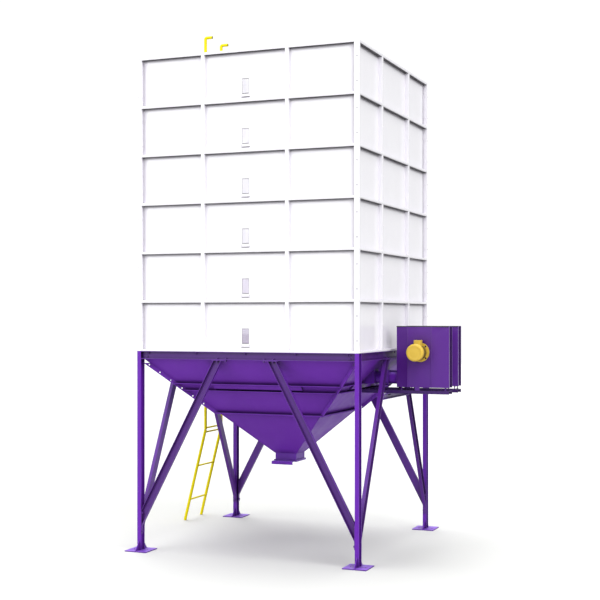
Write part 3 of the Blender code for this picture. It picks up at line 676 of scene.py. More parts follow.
# The panes of the two lowest tiers are darker copies: painted shade for the dimmer inside of the bin low
# down. The lowest pane is darker still below a level.
darker_below_level = bin_low.z + 0.225
clear_acrylic = acrylic("clear_acrylic", (0.96, 0.95, 0.98), (0.88, 0.87, 0.92), (0.92, 0.91, 0.95), 0.0)
acrylic_painted_shade = acrylic("acrylic_painted_shade", (0.87, 0.84, 0.92), (0.80, 0.76, 0.85), (0.84, 0.81, 0.89), 0.0)
acrylic_painted_deep_shade = acrylic(
    "acrylic_painted_deep_shade", (0.82, 0.78, 0.87), (0.74, 0.70, 0.79), (0.60, 0.55, 0.65), darker_below_level
)


def round_loop(outline, half_wide, low_z, high_z, corner):
    """An outline of (in, out) points carried round an upright rectangle with round corners.

    The path is corner centre + corner radius * (cos t, sin t). In is measured from the path to the middle,
    and out towards -Y from the wall's sheet.
    """
    outline, quarter = np.asarray(outline, float), np.linspace(0, np.pi / 2, 7)
    t = (np.arange(4)[:, None] * np.pi / 2 + quarter[None]).ravel()
    sign_x = np.repeat([1, -1, -1, 1], len(quarter))
    sign_z = np.repeat([1, 1, -1, -1], len(quarter))
    middle_z = (low_z + high_z) / 2
    centre_x = sign_x * (half_wide - corner)
    centre_z = middle_z + sign_z * ((high_z - low_z) / 2 - corner)
    radius = corner - outline[None, :, 0]
    x = centre_x[:, None] + radius * np.cos(t)[:, None]
    z = centre_z[:, None] + radius * np.sin(t)[:, None]
    y = -sheet_face - seat - np.broadcast_to(outline[None, :, 1], x.shape)
    return skin(np.stack([x, y, z], -1), loop=True)


frame_outline = eased(
    [(0, 0), (0, frame_thick - 0.001), (frame_wide - 0.003, frame_thick), (frame_wide, frame_thick - 0.003),
     (frame_wide, 0)],
    0.0012, 2,
)
window_frame = round_loop(frame_outline, frame_half, frame_low, frame_high, 0.012)
drip_lip = oblong(
    (-drip_half, -sheet_face - drip_out, frame_low - drip_thick),
    (drip_half, -sheet_face, frame_low), 0.0015, "x",
)
# A dark strip under the drip lip paints the shade beneath it.
drip_shade_strip = oblong(
    (-drip_shade_strip_half, -sheet_face - drip_shade_strip_out, frame_low - drip_shade_strip_z[0]),
    (drip_shade_strip_half, -sheet_face - seat, frame_low - drip_shade_strip_z[1]), 0.001, "x",
)
bead_outline = eased([(0.0, 0.001), (0.0, 0.006), (0.004, 0.006), (0.004, 0.001)], 0.001, 2)
window_bead = round_loop(
    bead_outline, frame_half - bead_in, frame_low + bead_low, frame_high - bead_high, 0.006
)
screw = turned([(0.0042, 0), (0.0042, 0.0008), (0.0030, 0.0022), (0.0012, 0.0026)], 10)
screws_at = [(x, -sheet_face - frame_thick - screw_seat, z) for x in (-screw_x, screw_x) for z in screw_z]
screws = aimed(screw, screws_at, forward)
mark_grey = coating("level_mark_print", (0.55, 0.52, 0.62), (0.50, 0.47, 0.56), (0.6, 0.6, 0.6), 0.4)
mark_front, mark_back = (-sheet_face - out for out in mark_y)
marks = together(*[
    oblong(
        (mark_left, mark_front, z - mark_half), (mark_left + length, mark_back, z + mark_half), 0.0002, "x"
    )
    for z, length in zip(np.linspace(*mark_z, 6), 2 * (0.060, 0.034, 0.034))
])
pane_x, pane_foot, pane_head = pane_half + pane_lap, pane_low - pane_lap, pane_high + pane_lap
pane_outline = eased(
    [(-pane_x, pane_foot), (pane_x, pane_foot), (pane_x, pane_head), (-pane_x, pane_head)], 0.008, 4
)
pane = bar(pane_outline, *[(0, -sheet_face - out, 0) for out in pane_y], rightward, upward)
framed, bead_and_shade_strip = together(window_frame, drip_lip, screws), together(window_bead, drip_shade_strip)
for number, name in enumerate(tiers, 1):
    lift = [(0, 0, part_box(name)[0].z)]
    piece(f"window_frame_{number}", moved(framed, lift), white)
    piece(f"window_bead_and_shade_strip_{number}", moved(bead_and_shade_strip, lift), rubber_and_shade_grey)
    piece(f"window_marks_{number}", moved(marks, lift), mark_grey)
    pane_finish = {1: acrylic_painted_deep_shade, 2: acrylic_painted_shade}.get(number, clear_acrylic)
    piece(f"window_pane_{number}", moved(pane, lift), pane_finish, [f"sight_window_{number}"])

# Fan supports
# A shallow channel runs out below each fan, from the hopper's flange over a beam between the right wall's
# braces. Lugs bolt it to the flange, and bolts with washers hold it down on the beam.

# A much darker copy of the purple coat: painted shade on the fan supports, which lie under the fans.
purple_painted_deep_shade = coating(
    "purple_coat_painted_deep_shade", (0.044, 0.010, 0.118), (0.030, 0.007, 0.085), (0.14, 0.08, 0.24), 0.45, 0.3,
    rub=0.2, recess_shade=0.6, recess_shade_colour=(0.012, 0.004, 0.028),
)
painted(["fan_support_front", "fan_support_back"], purple_painted_deep_shade)
painted(["fan_cross_beam"], purple)
fan_middles = {"front": -0.225, "back": 0.225}
support_top, support_wall, support_low, beam_wall = 2.060, 0.006, 2.018, 0.007
flange_top, beam_x, lug_x, lug_half = 2.048, 1.476, (1.040, 1.150), 0.040
lug_bolt_x, inner_bolt_x, bolt_half = 1.060, 1.125, 0.024
lug_low, lug_top = flange_top + hair, support_top - support_wall - hair
support_parts = []
for middle in fan_middles.values():
    sides = [middle - bolt_half, middle + bolt_half]
    top_bolts_at = [(x, y, support_top) for x in (inner_bolt_x, beam_x) for y in sides]
    support_parts += [
        oblong((lug_x[0], middle - lug_half, lug_low), (lug_x[1], middle + lug_half, lug_top), 0.001, "x"),
        aimed(hexagon_bolt(0.010), [(lug_bolt_x, y, lug_top) for y in sides], upward),
        aimed(hexagon_bolt(0.012), top_bolts_at, upward),
        aimed(hexagon_bolt(0.012, 0.022), [(beam_x, y, support_low - beam_wall) for y in sides], downward),
    ]
piece("fan_support_fixings", together(*support_parts), purple_painted_deep_shade)

# Fan housings
# Each fan is a pan of folded sheet, creased so that it doesn't drum, a flat back plate with the air inlet,
# and between them the scroll, a sheet strip that widens round the wheel and leaves to the left.

# The fan housings take the darker copy of the purple coat: painted shade.
painted(["fan_housing_front", "fan_housing_back"], purple_painted_shade)
fan_left, fan_right, fan_floor, fan_top = 1.596, 2.282, 2.100, 2.878
fan_depth, pan_fold, bend, thin = 0.170, 0.050, 0.005, 0.002
creases, crease_drop, ridge_half, ridge_high = (1.743, 2.056), 0.006, 0.006, 0.004
shaft_x, shaft_z, inlet_r, wheel_r = 1.908, 2.547, 0.150, 0.215
scroll_r, scroll_growth, outlet_inset, outlet_z = 0.285, 0.156, 0.008, (2.106, 2.320)
mouth_roll, mouth_depth, mouth_lap = 0.028, 0.070, 0.032


def folded_pan(face_y):
    """A sheet pan, its face on y = face_y with two creases, its four edges folded back round a bend.

    Across a fold the sheet's x or z stands still while its depth grows; round the bend they are
    r (1 - cos a) and r (1 - sin a). A point's depth is the larger one of its two folds, plus the slope of
    the face from a crease to the edge, less the small ridge of the crease itself.
    """
    a = np.linspace(0, np.pi / 2, 4)
    inward = np.r_[0, bend * (1 - np.cos(a))]
    depth = np.r_[pan_fold, bend * (1 - np.sin(a))]
    ridges = np.add.outer(creases, (-ridge_half, 0, ridge_half)).ravel()
    x = np.r_[fan_left + inward, ridges, fan_right - inward[::-1]]
    z = np.r_[fan_floor + inward, np.linspace(fan_floor, fan_top, 6)[1:-1], fan_top - inward[::-1]]
    depth_x = np.r_[depth, 0 * ridges, depth[::-1]]
    depth_z = np.r_[depth, 0, 0, 0, 0, depth[::-1]]
    lean = np.interp(
        x, [fan_left, *ridges, fan_right], [crease_drop, 0, -ridge_high, 0, 0, -ridge_high, 0, crease_drop]
    )
    xs, zs = np.meshgrid(x, z)
    folded = np.maximum(depth_x[None], depth_z[:, None])
    y = face_y + folded + lean[None] * (folded < pan_fold)
    points = np.stack([xs, y, zs], -1).reshape(-1, 3)
    faces = open_quads(len(z), len(x))
    p, q, s, t = (points[faces[:, k]] for k in range(4))
    area = np.linalg.norm(np.cross(s - p, t - q), axis=1)
    return points, [faces[area > 1e-9]]


def scroll_strip(low_y, high_y):
    """The scroll's sheet strip, from low_y to high_y, round the shaft and along the outlet.

    Its radius is scroll_r + scroll_growth (1 - s)^2.5, where s runs from 0 at the foot, straight below the
    shaft, to 1 at the tongue, 306 degrees further round.
    """
    s = np.linspace(0, 1, 37)
    t = np.radians(-90 + 306 * s)
    radius = scroll_r + scroll_growth * (1 - s) ** 2.5
    x = np.r_[shaft_x + radius * np.cos(t), [fan_left + outlet_inset] * 2]
    z = np.r_[shaft_z + radius * np.sin(t), outlet_z[::-1]]
    path = np.stack([x, z], -1)
    along = np.roll(path, -1, 0) - np.roll(path, 1, 0)
    along /= np.linalg.norm(along, axis=1, keepdims=True)
    inner = path + thin * np.stack([-along[:, 1], along[:, 0]], -1)
    edges = [(path, low_y), (path, high_y), (inner, high_y), (inner, low_y)]
    rings = [np.stack([line[:, 0], 0 * line[:, 0] + y, line[:, 1]], -1) for line, y in edges]
    return skin(np.stack(rings, 1), loop=True)


def inlet_plate(back_y):
    """The back plate: rings of points from its square edge to the rolled mouth of the inlet and back.

    A ring's point lies on a ray at angle t from the shaft, on the plate's edge or at the ring's radius.
    """
    corners = [(x, z) for x in (fan_left, fan_right) for z in (fan_floor, fan_top)]
    corner_t = [np.arctan2(z - shaft_z, x - shaft_x) for x, z in corners]
    t = np.sort(np.r_[np.linspace(-np.pi, np.pi, 48, endpoint=False), corner_t])[::-1]
    c, s = np.cos(t), np.sin(t)
    to_side = np.where(c > 0, fan_right - shaft_x, fan_left - shaft_x) / np.where(np.abs(c) < 1e-9, 1e-9, c)
    to_end = np.where(s > 0, fan_top - shaft_z, fan_floor - shaft_z) / np.where(np.abs(s) < 1e-9, 1e-9, s)
    edge = np.minimum(np.abs(to_side), np.abs(to_end))
    a = np.linspace(0, np.pi / 2, 6)
    mouth, depth = inlet_r + mouth_roll * (1 - np.sin(a)), mouth_roll * (1 - np.cos(a))
    rings = [(edge, thin), (edge, 0)] + list(zip(mouth, depth))
    rings += [(inlet_r, mouth_depth), (inlet_r + thin, mouth_depth), (inlet_r + mouth_lap, thin)]
    grid = [np.stack([shaft_x + r * c, back_y - d + 0 * t, shaft_z + r * s], -1) for r, d in rings]
    return skin(np.stack(grid), loop=True)


def inlet_guard(back_y):
    """A guard of round wire over the inlet: seven hoops about the shaft, and three spokes across them.

    A hoop's point = shaft + (R + wire cos k) (cos t, sin t), at the depth back_y - guard_back + wire sin k.
    """
    t, k = np.arange(40)[:, None] * np.pi / 20, np.arange(6)[None] * np.pi / 3
    parts = []
    for radius in np.linspace(0.025, inlet_r - 0.004, 7):
        r = radius + hoop_wire * np.cos(k)
        depth = back_y - guard_back + hoop_wire * np.sin(k) + 0 * t
        hoop = np.stack([shaft_x + r * np.cos(t), depth, shaft_z + r * np.sin(t)], -1)
        parts.append(skin(hoop, loop=True))
    centre = np.array((shaft_x, back_y - spoke_wire, shaft_z))
    for a in 0.3 + np.arange(3) * np.pi / 3:
        reach = (inlet_r + spoke_lap) * np.array((np.cos(a), 0, np.sin(a)))
        parts.append(tube([centre - reach, centre + reach], spoke_wire, 6))
    return together(*parts)


def fan_wheel(near):
    """The wheel inside: a disc with its hub, and twelve blades standing on it.

    A blade's line runs out from blade_root to wheel_r and aside by blade_lean share^2, where the share says
    how far out it is. It is turned about the shaft for each blade, and carried along Y with both its sides.
    """
    share = np.linspace(0, 1, 6)
    blade_line = np.stack([np.linspace(blade_root, wheel_r, 6), blade_lean * share**2], -1)
    low_y, high_y = near + blade_y[0], near + blade_y[1]
    parts = [aimed(
        turned([(wheel_r, 0), (wheel_r, 0.003), (0.045, 0.004), (0.030, 0.040), (0.018, 0.044)], 40),
        [(shaft_x, near + disc_y, shaft_z)], backward,
    )]
    for turn in np.linspace(0, 2 * np.pi, 12, endpoint=False):
        c, s = np.cos(turn), np.sin(turn)
        x, z = (blade_line @ np.array([[c, s], [-s, c]]) + (shaft_x, shaft_z)).T
        edges = [(-thin / 2, low_y), (thin / 2, low_y), (thin / 2, high_y), (-thin / 2, high_y)]
        blade = [np.stack([x + side * s, 0 * x + y, z - side * c], -1) for side, y in edges]
        parts.append(skin(np.stack(blade, 1)))
    return together(*parts)


def feet_and_stay(middle):
    """Four threaded feet with their nuts under the housing, and the bracket that stays its front sheet."""
    feet_at = [(x, middle + y, foot_z) for x in foot_x for y in foot_y]
    nuts_at = [(x, y, z) for x, y, _ in feet_at for z in (foot_z, fan_floor - foot_nut_drop)]
    near = middle - fan_depth / 2
    upright = oblong(
        (stay_x[0], near, foot_z), (stay_x[1], near + stay_thick, fan_floor + stay_lap), 0.001, "x"
    )
    toe = oblong(
        (stay_x[0], near + 0.001, foot_z), (stay_x[1], near + stay_toe, foot_z + stay_thick), 0.001, "x"
    )
    bolt_at = [(sum(stay_x) / 2, near + stay_bolt, foot_z + stay_thick)]
    return together(
        moved(foot_rod, feet_at), moved(foot_nut, nuts_at), upright, toe,
        aimed(hexagon_bolt(0.008), bolt_at, upward),
    )


wheel_steel = coating(
    "bare_wheel_steel", (0.42, 0.42, 0.44), (0.34, 0.34, 0.36), (0.5, 0.5, 0.5), 0.42, peel=0.00005
)
hoop_wire, guard_back, spoke_wire, spoke_lap = 0.0018, 0.005, 0.002, 0.010
blade_root, blade_lean, blade_y, disc_y = 0.080, 0.05, (0.036, 0.096), 0.033
foot_x, foot_y, foot_z, foot_nut_drop = (1.657, 2.234), (-0.065, 0.074), support_top + hair, 0.009
stay_x, stay_thick, stay_lap, stay_toe, stay_bolt = (1.838, 1.900), 0.003, 0.006, 0.030, 0.017
tie_wide, tie_thick, tie_lap, outlet_plate_x, outlet_plate_top = 0.030, 0.0025, 0.004, (0.001, 0.005), 2.345
tie_x, tie_z = (fan_left + 0.004, fan_right - 0.036), (fan_floor + 0.003, fan_top - 0.006)
plate_edge_deep, screw_in, back_screw_z = 0.018, 0.015, np.linspace(2.14, 2.84, 5)
scroll_clear, top_shade_strip_y, top_shade_strip_z = (0.010, 0.003), (-0.0015, 0.008), (-0.011, 0.0008)
foot_rod = turned([(0.0065, 0), (0.0065, 0.046)], 12)
foot_nut = turned([(0.0105, 0), (0.0115, 0.001), (0.0115, 0.007), (0.0105, 0.008)], 6)
back_screw = turned([(0.0045, 0), (0.0045, 0.001), (0.003, 0.0025)], 10)
for name, middle in fan_middles.items():
    near, far = middle - fan_depth / 2, middle + fan_depth / 2
    thickened(piece(f"fan_pan_{name}", folded_pan(near), purple_painted_shade), thin)
    tie_near, tie_far = near + pan_fold - tie_lap, far - 0.001
    ties = [
        oblong((x, tie_near, z), (x + tie_wide, tie_far, z + tie_thick), 0.0008, "y")
        for x in tie_x for z in tie_z
    ]
    outlet_plate = oblong(
        (fan_left + outlet_plate_x[0], tie_near, tie_z[0]),
        (fan_left + outlet_plate_x[1], tie_far, outlet_plate_top), 0.001, "z",
    )
    plate_edges = [
        oblong((x, far - plate_edge_deep, fan_floor), (x + thin, far, fan_top), 0.0008, "z")
        for x in (fan_left, fan_right - thin)
    ]
    screws_at = [(x, far, z) for x in (fan_left + screw_in, fan_right - screw_in) for z in back_screw_z]
    body = together(
        scroll_strip(near + scroll_clear[0], far - scroll_clear[1]), inlet_plate(far), *plate_edges, *ties,
        outlet_plate, feet_and_stay(middle), aimed(back_screw, screws_at, backward),
    )
    piece(f"fan_scroll_{name}", body, purple_painted_shade, [f"fan_housing_{name}"])
    # A dark strip along the top edge of the fan's front paints the shade there.
    top_shade_strip = oblong(
        (fan_left, near + top_shade_strip_y[0], fan_top + top_shade_strip_z[0]),
        (fan_right, near + top_shade_strip_y[1], fan_top + top_shade_strip_z[1]), 0.001, "x",
    )
    piece(f"fan_top_shade_strip_{name}", top_shade_strip, rubber_and_shade_grey)
    piece(f"fan_inlet_guard_{name}", inlet_guard(far), wheel_steel)
    piece(f"fan_wheel_{name}", fan_wheel(near), wheel_steel)

# Fan motors
# A flange motor drives each fan: a finned cast body, a smooth cowl over its own cooling fan, and a terminal
# box with a cable gland on top. The flange's four holes are left free. It is painted golden yellow.

golden = coating(
    "golden_enamel", (0.700, 0.472, 0.053), (0.640, 0.425, 0.046), (0.80, 0.66, 0.28), 0.34, 0.4
)
# A darker copy of the golden enamel: painted shade on the finned body between flange and cowl.
golden_painted_shade = coating(
    "golden_enamel_painted_shade", (0.300, 0.205, 0.030), (0.230, 0.155, 0.024), (0.45, 0.36, 0.16), 0.5, 0.3, rub=0.2
)
painted(["fan_motor_front", "fan_motor_back"], golden)
flange_r, flange_thick, hole_r, hole_ring, bore_r = 0.123, 0.012, 0.0125, 0.105, 0.084
motor_length, fins, fin_r, fin_root, fin_turns = 0.262, 44, 0.098, 0.084, (-0.032, -0.0224, 0.0224, 0.032)
cowl_r, cowl_start, cowl_bend, cowl_rise, fin_start, fin_lap = 0.110, 0.196, 0.020, 0.016, 0.042, 0.010
cover_line, box_half, box_low, box_top, box_near, box_far = 0.142, 0.045, 0.080, 0.155, 0.046, 0.136
box_screw_x, box_screw_in, gland_at = 0.035, 0.010, (-box_half, 0.112, 0.090)


def holed_quarter():
    """A quarter of the motor's flange with its hole, from z = 0 to the flange's thickness.

    The ring between hole and edge is drawn in (angle, radius): its outer points lie where rays from the
    hole's middle leave the quarter, and its inner ones on the hole.
    """
    k = np.arange(40) * 2 * np.pi / 40
    c, s = np.cos(k), np.sin(k)
    out = np.where(s > 0, flange_r - hole_ring, bore_r - hole_ring)
    reach_side = np.pi / 4 / np.maximum(np.abs(c), 1e-9)
    reach_end = 1 / np.maximum(np.abs(s), 1e-9)
    share = np.minimum(reach_side / (np.pi / 4), reach_end)
    angle = np.pi / 4 + np.pi / 4 * c * share
    radius = hole_ring + out * np.abs(s) * share
    edge = np.stack([radius * np.cos(angle), radius * np.sin(angle)], -1)
    middle = hole_ring * np.array([np.cos(np.pi / 4), np.sin(np.pi / 4)])
    across, outward = np.array([-1, 1]) / np.sqrt(2), np.array([1, 1]) / np.sqrt(2)
    hole = middle + hole_r * (c[:, None] * across + s[:, None] * outward)
    rings = [(hole, 0), (edge, 0), (edge, flange_thick), (hole, flange_thick)]
    return skin(np.stack([np.c_[ring, 0 * c + z] for ring, z in rings])[:, ::-1], loop=True)


fin_turn = np.arange(fins)[:, None] * 2 * np.pi / fins + np.array(fin_turns)[None]
fin_radius = np.broadcast_to(np.array([fin_root, fin_r, fin_r, fin_root]), fin_turn.shape)
fin_outline = np.stack([fin_radius * np.cos(fin_turn), fin_radius * np.sin(fin_turn)], -1).reshape(-1, 2)
bend_turn = np.linspace(0, np.pi / 2, 7)
cowl_profile = np.r_[
    [(cowl_r - 0.004, cowl_start), (cowl_r, cowl_start + 0.001)],
    np.stack([cowl_r - cowl_bend * (1 - np.cos(bend_turn)),
              motor_length - cowl_bend + cowl_rise * np.sin(bend_turn)], -1),
    [(0.084, motor_length - 0.0025), (0.080, motor_length - 0.004), (0.050, motor_length - 0.0015),
     (0.004, motor_length)],
]
motor_neck = [(bore_r + 0.001, 0), (bore_r + 0.001, 0.020), (0.094, 0.026), (0.094, 0.040), (0.088, 0.044)]
finned = bar(fin_outline, (0, 0, fin_start), (0, 0, cowl_start + fin_lap), rightward, backward)
casting = together(turned(motor_neck, 48), finned)
box_screws_at = [
    (x, box_top, z)
    for x in (-box_screw_x, box_screw_x) for z in (box_near + box_screw_in, box_far - box_screw_in)
]
motor_shape = together(
    around(holed_quarter()), turned(cowl_profile, 48),
    oblong((-box_half, box_low, box_near), (box_half, cover_line - 0.001, box_far), 0.006, "y"),
    oblong((-box_half, cover_line, box_near), (box_half, box_top, box_far), 0.006, "y"),
    aimed(turned([(0.0035, 0), (0.0035, 0.002), (0.002, 0.003)], 10), box_screws_at, backward),
)
gland_profile = [(0.012, 0), (0.012, 0.006), (0.010, 0.007), (0.010, 0.016), (0.007, 0.020)]
gland = aimed(turned(gland_profile, 12), [gland_at], leftward)
turn_out = np.array([[1, 0, 0], [0, 0, 1], [0, -1, 0]])
for name, middle in fan_middles.items():
    face = (shaft_x, middle - fan_depth / 2 - hair, shaft_z)
    for label, part, finish in (
        ("motor", motor_shape, golden), ("motor_casting", casting, golden_painted_shade), ("gland", gland, rubber_and_shade_grey)
    ):
        placed = (part[0] @ turn_out + face, part[1])
        stands = [f"fan_motor_{name}"] if label == "motor" else []
        piece(f"fan_{label}_{name}_body", placed, finish, stands)

# Air ducts
# A round steel pipe takes the air of each fan to a wedge-shaped box, welded to the hopper's slope over an
# opening. The pipe is in two lengths, joined by a pair of flanges with a gasket between them.

painted(["fan_duct_front", "fan_duct_back"], purple)
pipe_z, pipe_r, end_ring_r, end_ring_thick = 2.213, 0.075, 0.093, 0.006
wedge_face, wedge_half, wedge_foot, wedge_slope, wedge_ease = 1.300, 0.100, 2.1385, 1.0215, 0.005
joint_x, joint_r, joint_thick, gasket_half, gasket_r, bolt_ring_r = 1.472, 0.106, 0.010, 0.002, 0.103, 0.091
joint_near, joint_far = joint_x - gasket_half - joint_thick, joint_x + gasket_half + joint_thick
end_ring_far = fan_left - end_ring_thick - hair
wedge_back, wedge_top = wedge_foot - wedge_slope, wedge_face + wedge_slope
wedge_corners = [(wedge_back, wedge_foot), (wedge_face, wedge_foot), (wedge_face, wedge_top)]
wedge_outline = eased(wedge_corners, wedge_ease)
pipe = turned([(pipe_r, 0), (pipe_r, fan_left - wedge_face)], 40)
half_joint = turned(
    [(pipe_r, 0), (joint_r - 0.001, 0), (joint_r, 0.001), (joint_r, joint_thick - 0.001),
     (joint_r - 0.001, joint_thick), (pipe_r, joint_thick)],
    40,
)
end_ring = turned(
    [(pipe_r, 0), (end_ring_r, 0), (end_ring_r, end_ring_thick), (pipe_r, end_ring_thick)], 40
)
gasket = turned([(gasket_r, 0), (gasket_r, 2 * gasket_half)], 40)
joint_turn = np.arange(6) * np.pi / 3 + np.pi / 6
for name, middle in fan_middles.items():
    wedge = bar(wedge_outline, (0, middle - wedge_half, 0), (0, middle + wedge_half, 0), rightward, upward)
    ring = [(middle + bolt_ring_r * np.cos(a), pipe_z + bolt_ring_r * np.sin(a)) for a in joint_turn]
    seams = [
        weld((wedge_back + wedge_ease, y, wedge_foot), (wedge_face, y, wedge_top - wedge_ease))
        for y in (middle - wedge_half, middle + wedge_half)
    ]
    duct = together(
        wedge, aimed(pipe, [(wedge_face, middle, pipe_z)], rightward),
        aimed(half_joint, [(x, middle, pipe_z) for x in (joint_near, joint_x + gasket_half)], rightward),
        aimed(end_ring, [(x, middle, pipe_z) for x in (end_ring_far, wedge_face)], rightward),
        aimed(hexagon_bolt(0.008), [(joint_near, *at) for at in ring], leftward),
        aimed(hexagon_bolt(0.008), [(joint_far, *at) for at in ring], rightward), *seams,
    )
    piece(f"fan_duct_{name}_pipe", duct, purple, [f"fan_duct_{name}"])
    placed_gasket = aimed(gasket, [(joint_x - gasket_half, middle, pipe_z)], rightward)
    piece(f"fan_duct_{name}_gasket", placed_gasket, rubber_and_shade_grey)

# Ladder
# Two steel tubes with round rungs welded between them run up the left wall on brackets and turn in over the
# top rim. A sleeve joins their two lengths. The lower flight stands on the floor and leans out.

yellow = coating(
    "yellow_enamel", (0.850, 0.720, 0.004), (0.800, 0.660, 0.003), (0.80, 0.72, 0.12), 0.38, 0.12, rub=0.08
)
# A near-black yellow for discs in the open tube ends: painted shade inside the hollow tubes.
tube_end_shade = coating(
    "painted_shade_in_tube_end", (0.110, 0.095, 0.010), (0.070, 0.060, 0.010), (0.2, 0.18, 0.06), 0.7, 0.2
)
painted(["ladder_lower", "ladder_middle", "ladder_upper"], yellow)
ladder_x, rail_y, rail_r, rung_r, fitting_thick = -1.680, (0.830, 1.360), 0.021, 0.0125, 0.003
ladder_break, ladder_splice, ladder_top, hook_r, hook_end = 1.350, 4.120, 7.076, 0.023, -1.570
foot_x, lowest_step, rung_pitch, upright_rungs, bracket_pitch = -2.016, 0.310, 0.5, 10, 2 * tier_height
rung_over_break, step_under_break, end_disc_thick = 0.022, 0.040, 0.0006
strap_half, clip_half, pad_thick = 0.015, 0.012, 0.0035
sleeve_half, sleeve_bolt_half, sleeve_bolt_seat = 0.070, 0.040, 0.002
wall_reach = -half - ladder_x - hair
hook_turn = np.linspace(0, np.pi / 2, 10)
hook = np.stack([ladder_x + hook_r * (1 - np.cos(hook_turn)), 0 * hook_turn,
                 ladder_top - hook_r * (1 - np.sin(hook_turn))], -1)
upper_rail = np.r_[[(ladder_x, 0, ladder_splice)], hook, [(hook_end, 0, ladder_top)]]
middle_rail = np.array([(ladder_x, 0, ladder_break), (ladder_x, 0, ladder_splice)])
rung_z = ladder_break + rung_over_break + rung_pitch * np.arange(upright_rungs)
rung = turned([(rung_r, 0), (rung_r, rail_y[1] - rail_y[0])], 14)
rung_bead = turned([(rung_r, 0), (rung_r + 0.004, 0.001), (rung_r + 0.003, 0.003), (rung_r, 0.006)], 14)


def rungs(centres):
    """Rungs between the two rails, each with a weld bead round both of its ends."""
    centres, bead_in = np.asarray(centres, float), rail_r - 0.001
    return together(
        aimed(rung, centres + (0, rail_y[0], 0), backward),
        aimed(rung_bead, centres + (0, rail_y[0] + bead_in, 0), backward),
        aimed(rung_bead, centres + (0, rail_y[1] - bead_in, 0), forward),
    )


bracket_z = bin_low.z + foot_fold / 2 + bracket_pitch * np.arange(4)
clip_turn, clip_r = np.linspace(0, 2 * np.pi, 20, endpoint=False), rail_r + fitting_thick
clip = skin(np.stack([
    np.stack([r * np.cos(clip_turn), r * np.sin(clip_turn), 0 * clip_turn + h], -1)
    for r, h in ((rail_r, -clip_half), (clip_r, -clip_half), (clip_r, clip_half), (rail_r, clip_half))
]), loop=True)
strap = oblong(
    (rail_r - 0.001, -strap_half, -fitting_thick), (wall_reach, strap_half, fitting_thick), 0.001, "x"
)
pad = oblong(
    (wall_reach - pad_thick, -strap_half, -clip_half), (wall_reach, strap_half, clip_half), 0.001, "x"
)
bracket = together(strap, pad, clip)
sleeve = turned(
    [(rail_r, -sleeve_half), (clip_r, 0.001 - sleeve_half), (clip_r, sleeve_half - 0.001),
     (rail_r, sleeve_half)],
    16,
)
for label, rail, low_z, high_z in (
    ("middle", middle_rail, ladder_break, ladder_splice), ("upper", upper_rail, ladder_splice, ladder_top)
):
    parts = [tube(rail + (0, y, 0), rail_r, 16) for y in rail_y]
    parts.append(rungs([(ladder_x, 0, z) for z in rung_z if low_z < z < high_z]))
    heights = [z for z in bracket_z if low_z < z < high_z]
    parts.append(moved(bracket, [(ladder_x, y, z) for z in heights for y in rail_y]))
    if label == "upper":
        parts.append(moved(sleeve, [(ladder_x, y, ladder_splice) for y in rail_y]))
        bolt_z = (ladder_splice - sleeve_bolt_half, ladder_splice + sleeve_bolt_half)
        bolts_at = [(ladder_x - rail_r - sleeve_bolt_seat, y, z) for y in rail_y for z in bolt_z]
        parts.append(aimed(hexagon_bolt(0.008), bolts_at, leftward))
    piece(f"ladder_{label}_tubes", together(*parts), yellow, [f"ladder_{label}"])
lift = rail_r * np.sin(np.arctan2(ladder_x - foot_x, ladder_break)) + hair
flight_foot, flight_head = np.array((foot_x, 0, lift)), np.array((ladder_x, 0, ladder_break - lift))
flight = flight_head - flight_foot
slanting = [tube([flight_foot + (0, y, 0), flight_head + (0, y, 0)], rail_r, 16) for y in rail_y]
steps_z = (lowest_step, lowest_step + rung_pitch, ladder_break - step_under_break)
steps = [flight_foot + flight * (z - lift) / flight[2] for z in steps_z]
piece("ladder_lower_tubes", together(*slanting, rungs(steps)), yellow, ["ladder_lower"])
# Discs in the open ends of the hooks paint the shade inside the tubes.
end_disc = turned([(rail_r - fitting_thick, 0), (rail_r - fitting_thick, end_disc_thick)], 16)
open_ends = aimed(end_disc, [(hook_end, y, ladder_top) for y in rail_y], rightward)
piece("ladder_open_ends", open_ends, tube_end_shade)

# Floor
# A plain pale studio floor under the silo, which runs on into the bright background. It looks paler than
# the light it throws back up makes it, so that the undersides stay in shade.

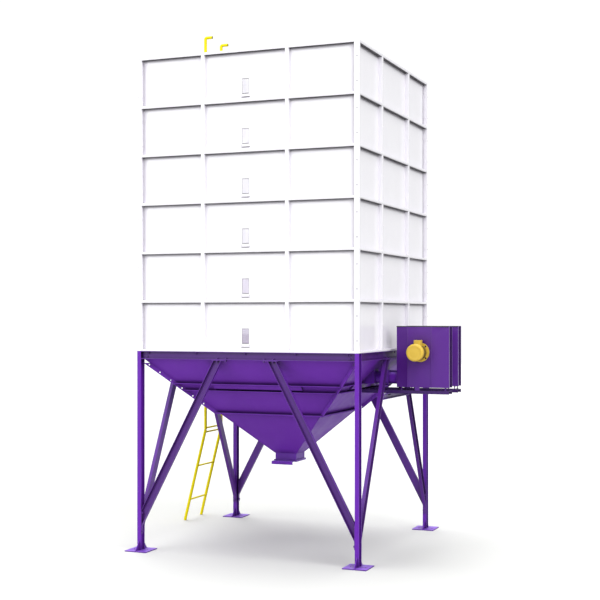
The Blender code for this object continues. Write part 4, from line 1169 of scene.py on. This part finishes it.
floor_mesh, reach = bpy.data.meshes.new("studio_floor"), 60.0
floor_corners = [(-reach, -reach, 0), (reach, -reach, 0), (reach, reach, 0), (-reach, reach, 0)]
floor_mesh.from_pydata(floor_corners, [], [(0, 1, 2, 3)])
floor = bpy.data.objects.new("studio_floor", floor_mesh)
bpy.context.scene.collection.objects.link(floor)
floor_paint = bpy.data.materials.new("pale_floor")
floor_paint.use_nodes = True
floor_shader = floor_paint.node_tree.nodes["Principled BSDF"]
bouncing = shader_node(floor_paint.node_tree, "ShaderNodeLightPath").outputs["Is Diffuse Ray"]
floor_tone = mixed(floor_paint.node_tree, bouncing, (0.590, 0.595, 0.580), (0.330, 0.330, 0.330))
floor_paint.node_tree.links.new(floor_tone, floor_shader.inputs["Base Color"])
floor_shader.inputs["Roughness"].default_value = 0.9
floor_shader.inputs["Specular IOR Level"].default_value = 0.1
floor_mesh.materials.append(floor_paint)

# Studio light
# A white surround gives the soft fill. One broad key light comes from the upper left in front, one as broad
# from high on the right lifts the side wall, and one from overhead draws the shadow under the silo.

world = bpy.data.worlds.new("white_studio")
bpy.context.scene.world = world
world.use_nodes = True
surround = world.node_tree
background = surround.nodes["Background"]
background.inputs["Color"].default_value = (1.0, 1.0, 1.0, 1.0)
fill, backdrop = 0.54, 1.05
seen = shader_node(surround, "ShaderNodeLightPath").outputs["Is Camera Ray"]
strength = ramp(surround, seen, 0.0, 1.0, fill, backdrop)
surround.links.new(strength, background.inputs["Strength"])
for name, energy, width, tilt, swing in (
    ("key", 1.62, 60, 65, -35), ("side_fill", 2.46, 60, 52, 54), ("overhead", 2.70, 42, -14, 40)
):
    lamp = bpy.data.lights.new(name, "SUN")
    lamp.energy, lamp.angle = energy, np.radians(width)
    light = bpy.data.objects.new(name, lamp)
    light.rotation_euler = (np.radians(tilt), 0, np.radians(swing))
    bpy.context.scene.collection.objects.link(light)
bpy.context.scene.view_settings.view_transform = "Standard"

# Camera
# Level, at eye height above a platform, a long lens from the front and a little to the right.

lens = bpy.data.cameras.new("camera")
lens.sensor_width, lens.lens, lens.shift_y = 36.0, 72.99, 0.0280
camera = bpy.data.objects.new("camera", lens)
camera.location = (axis_x + 6.2423, -15.1806, 2.9966)
camera.rotation_euler = (np.pi / 2, 0, np.radians(21.8872))
bpy.context.scene.collection.objects.link(camera)
bpy.context.scene.camera = camera
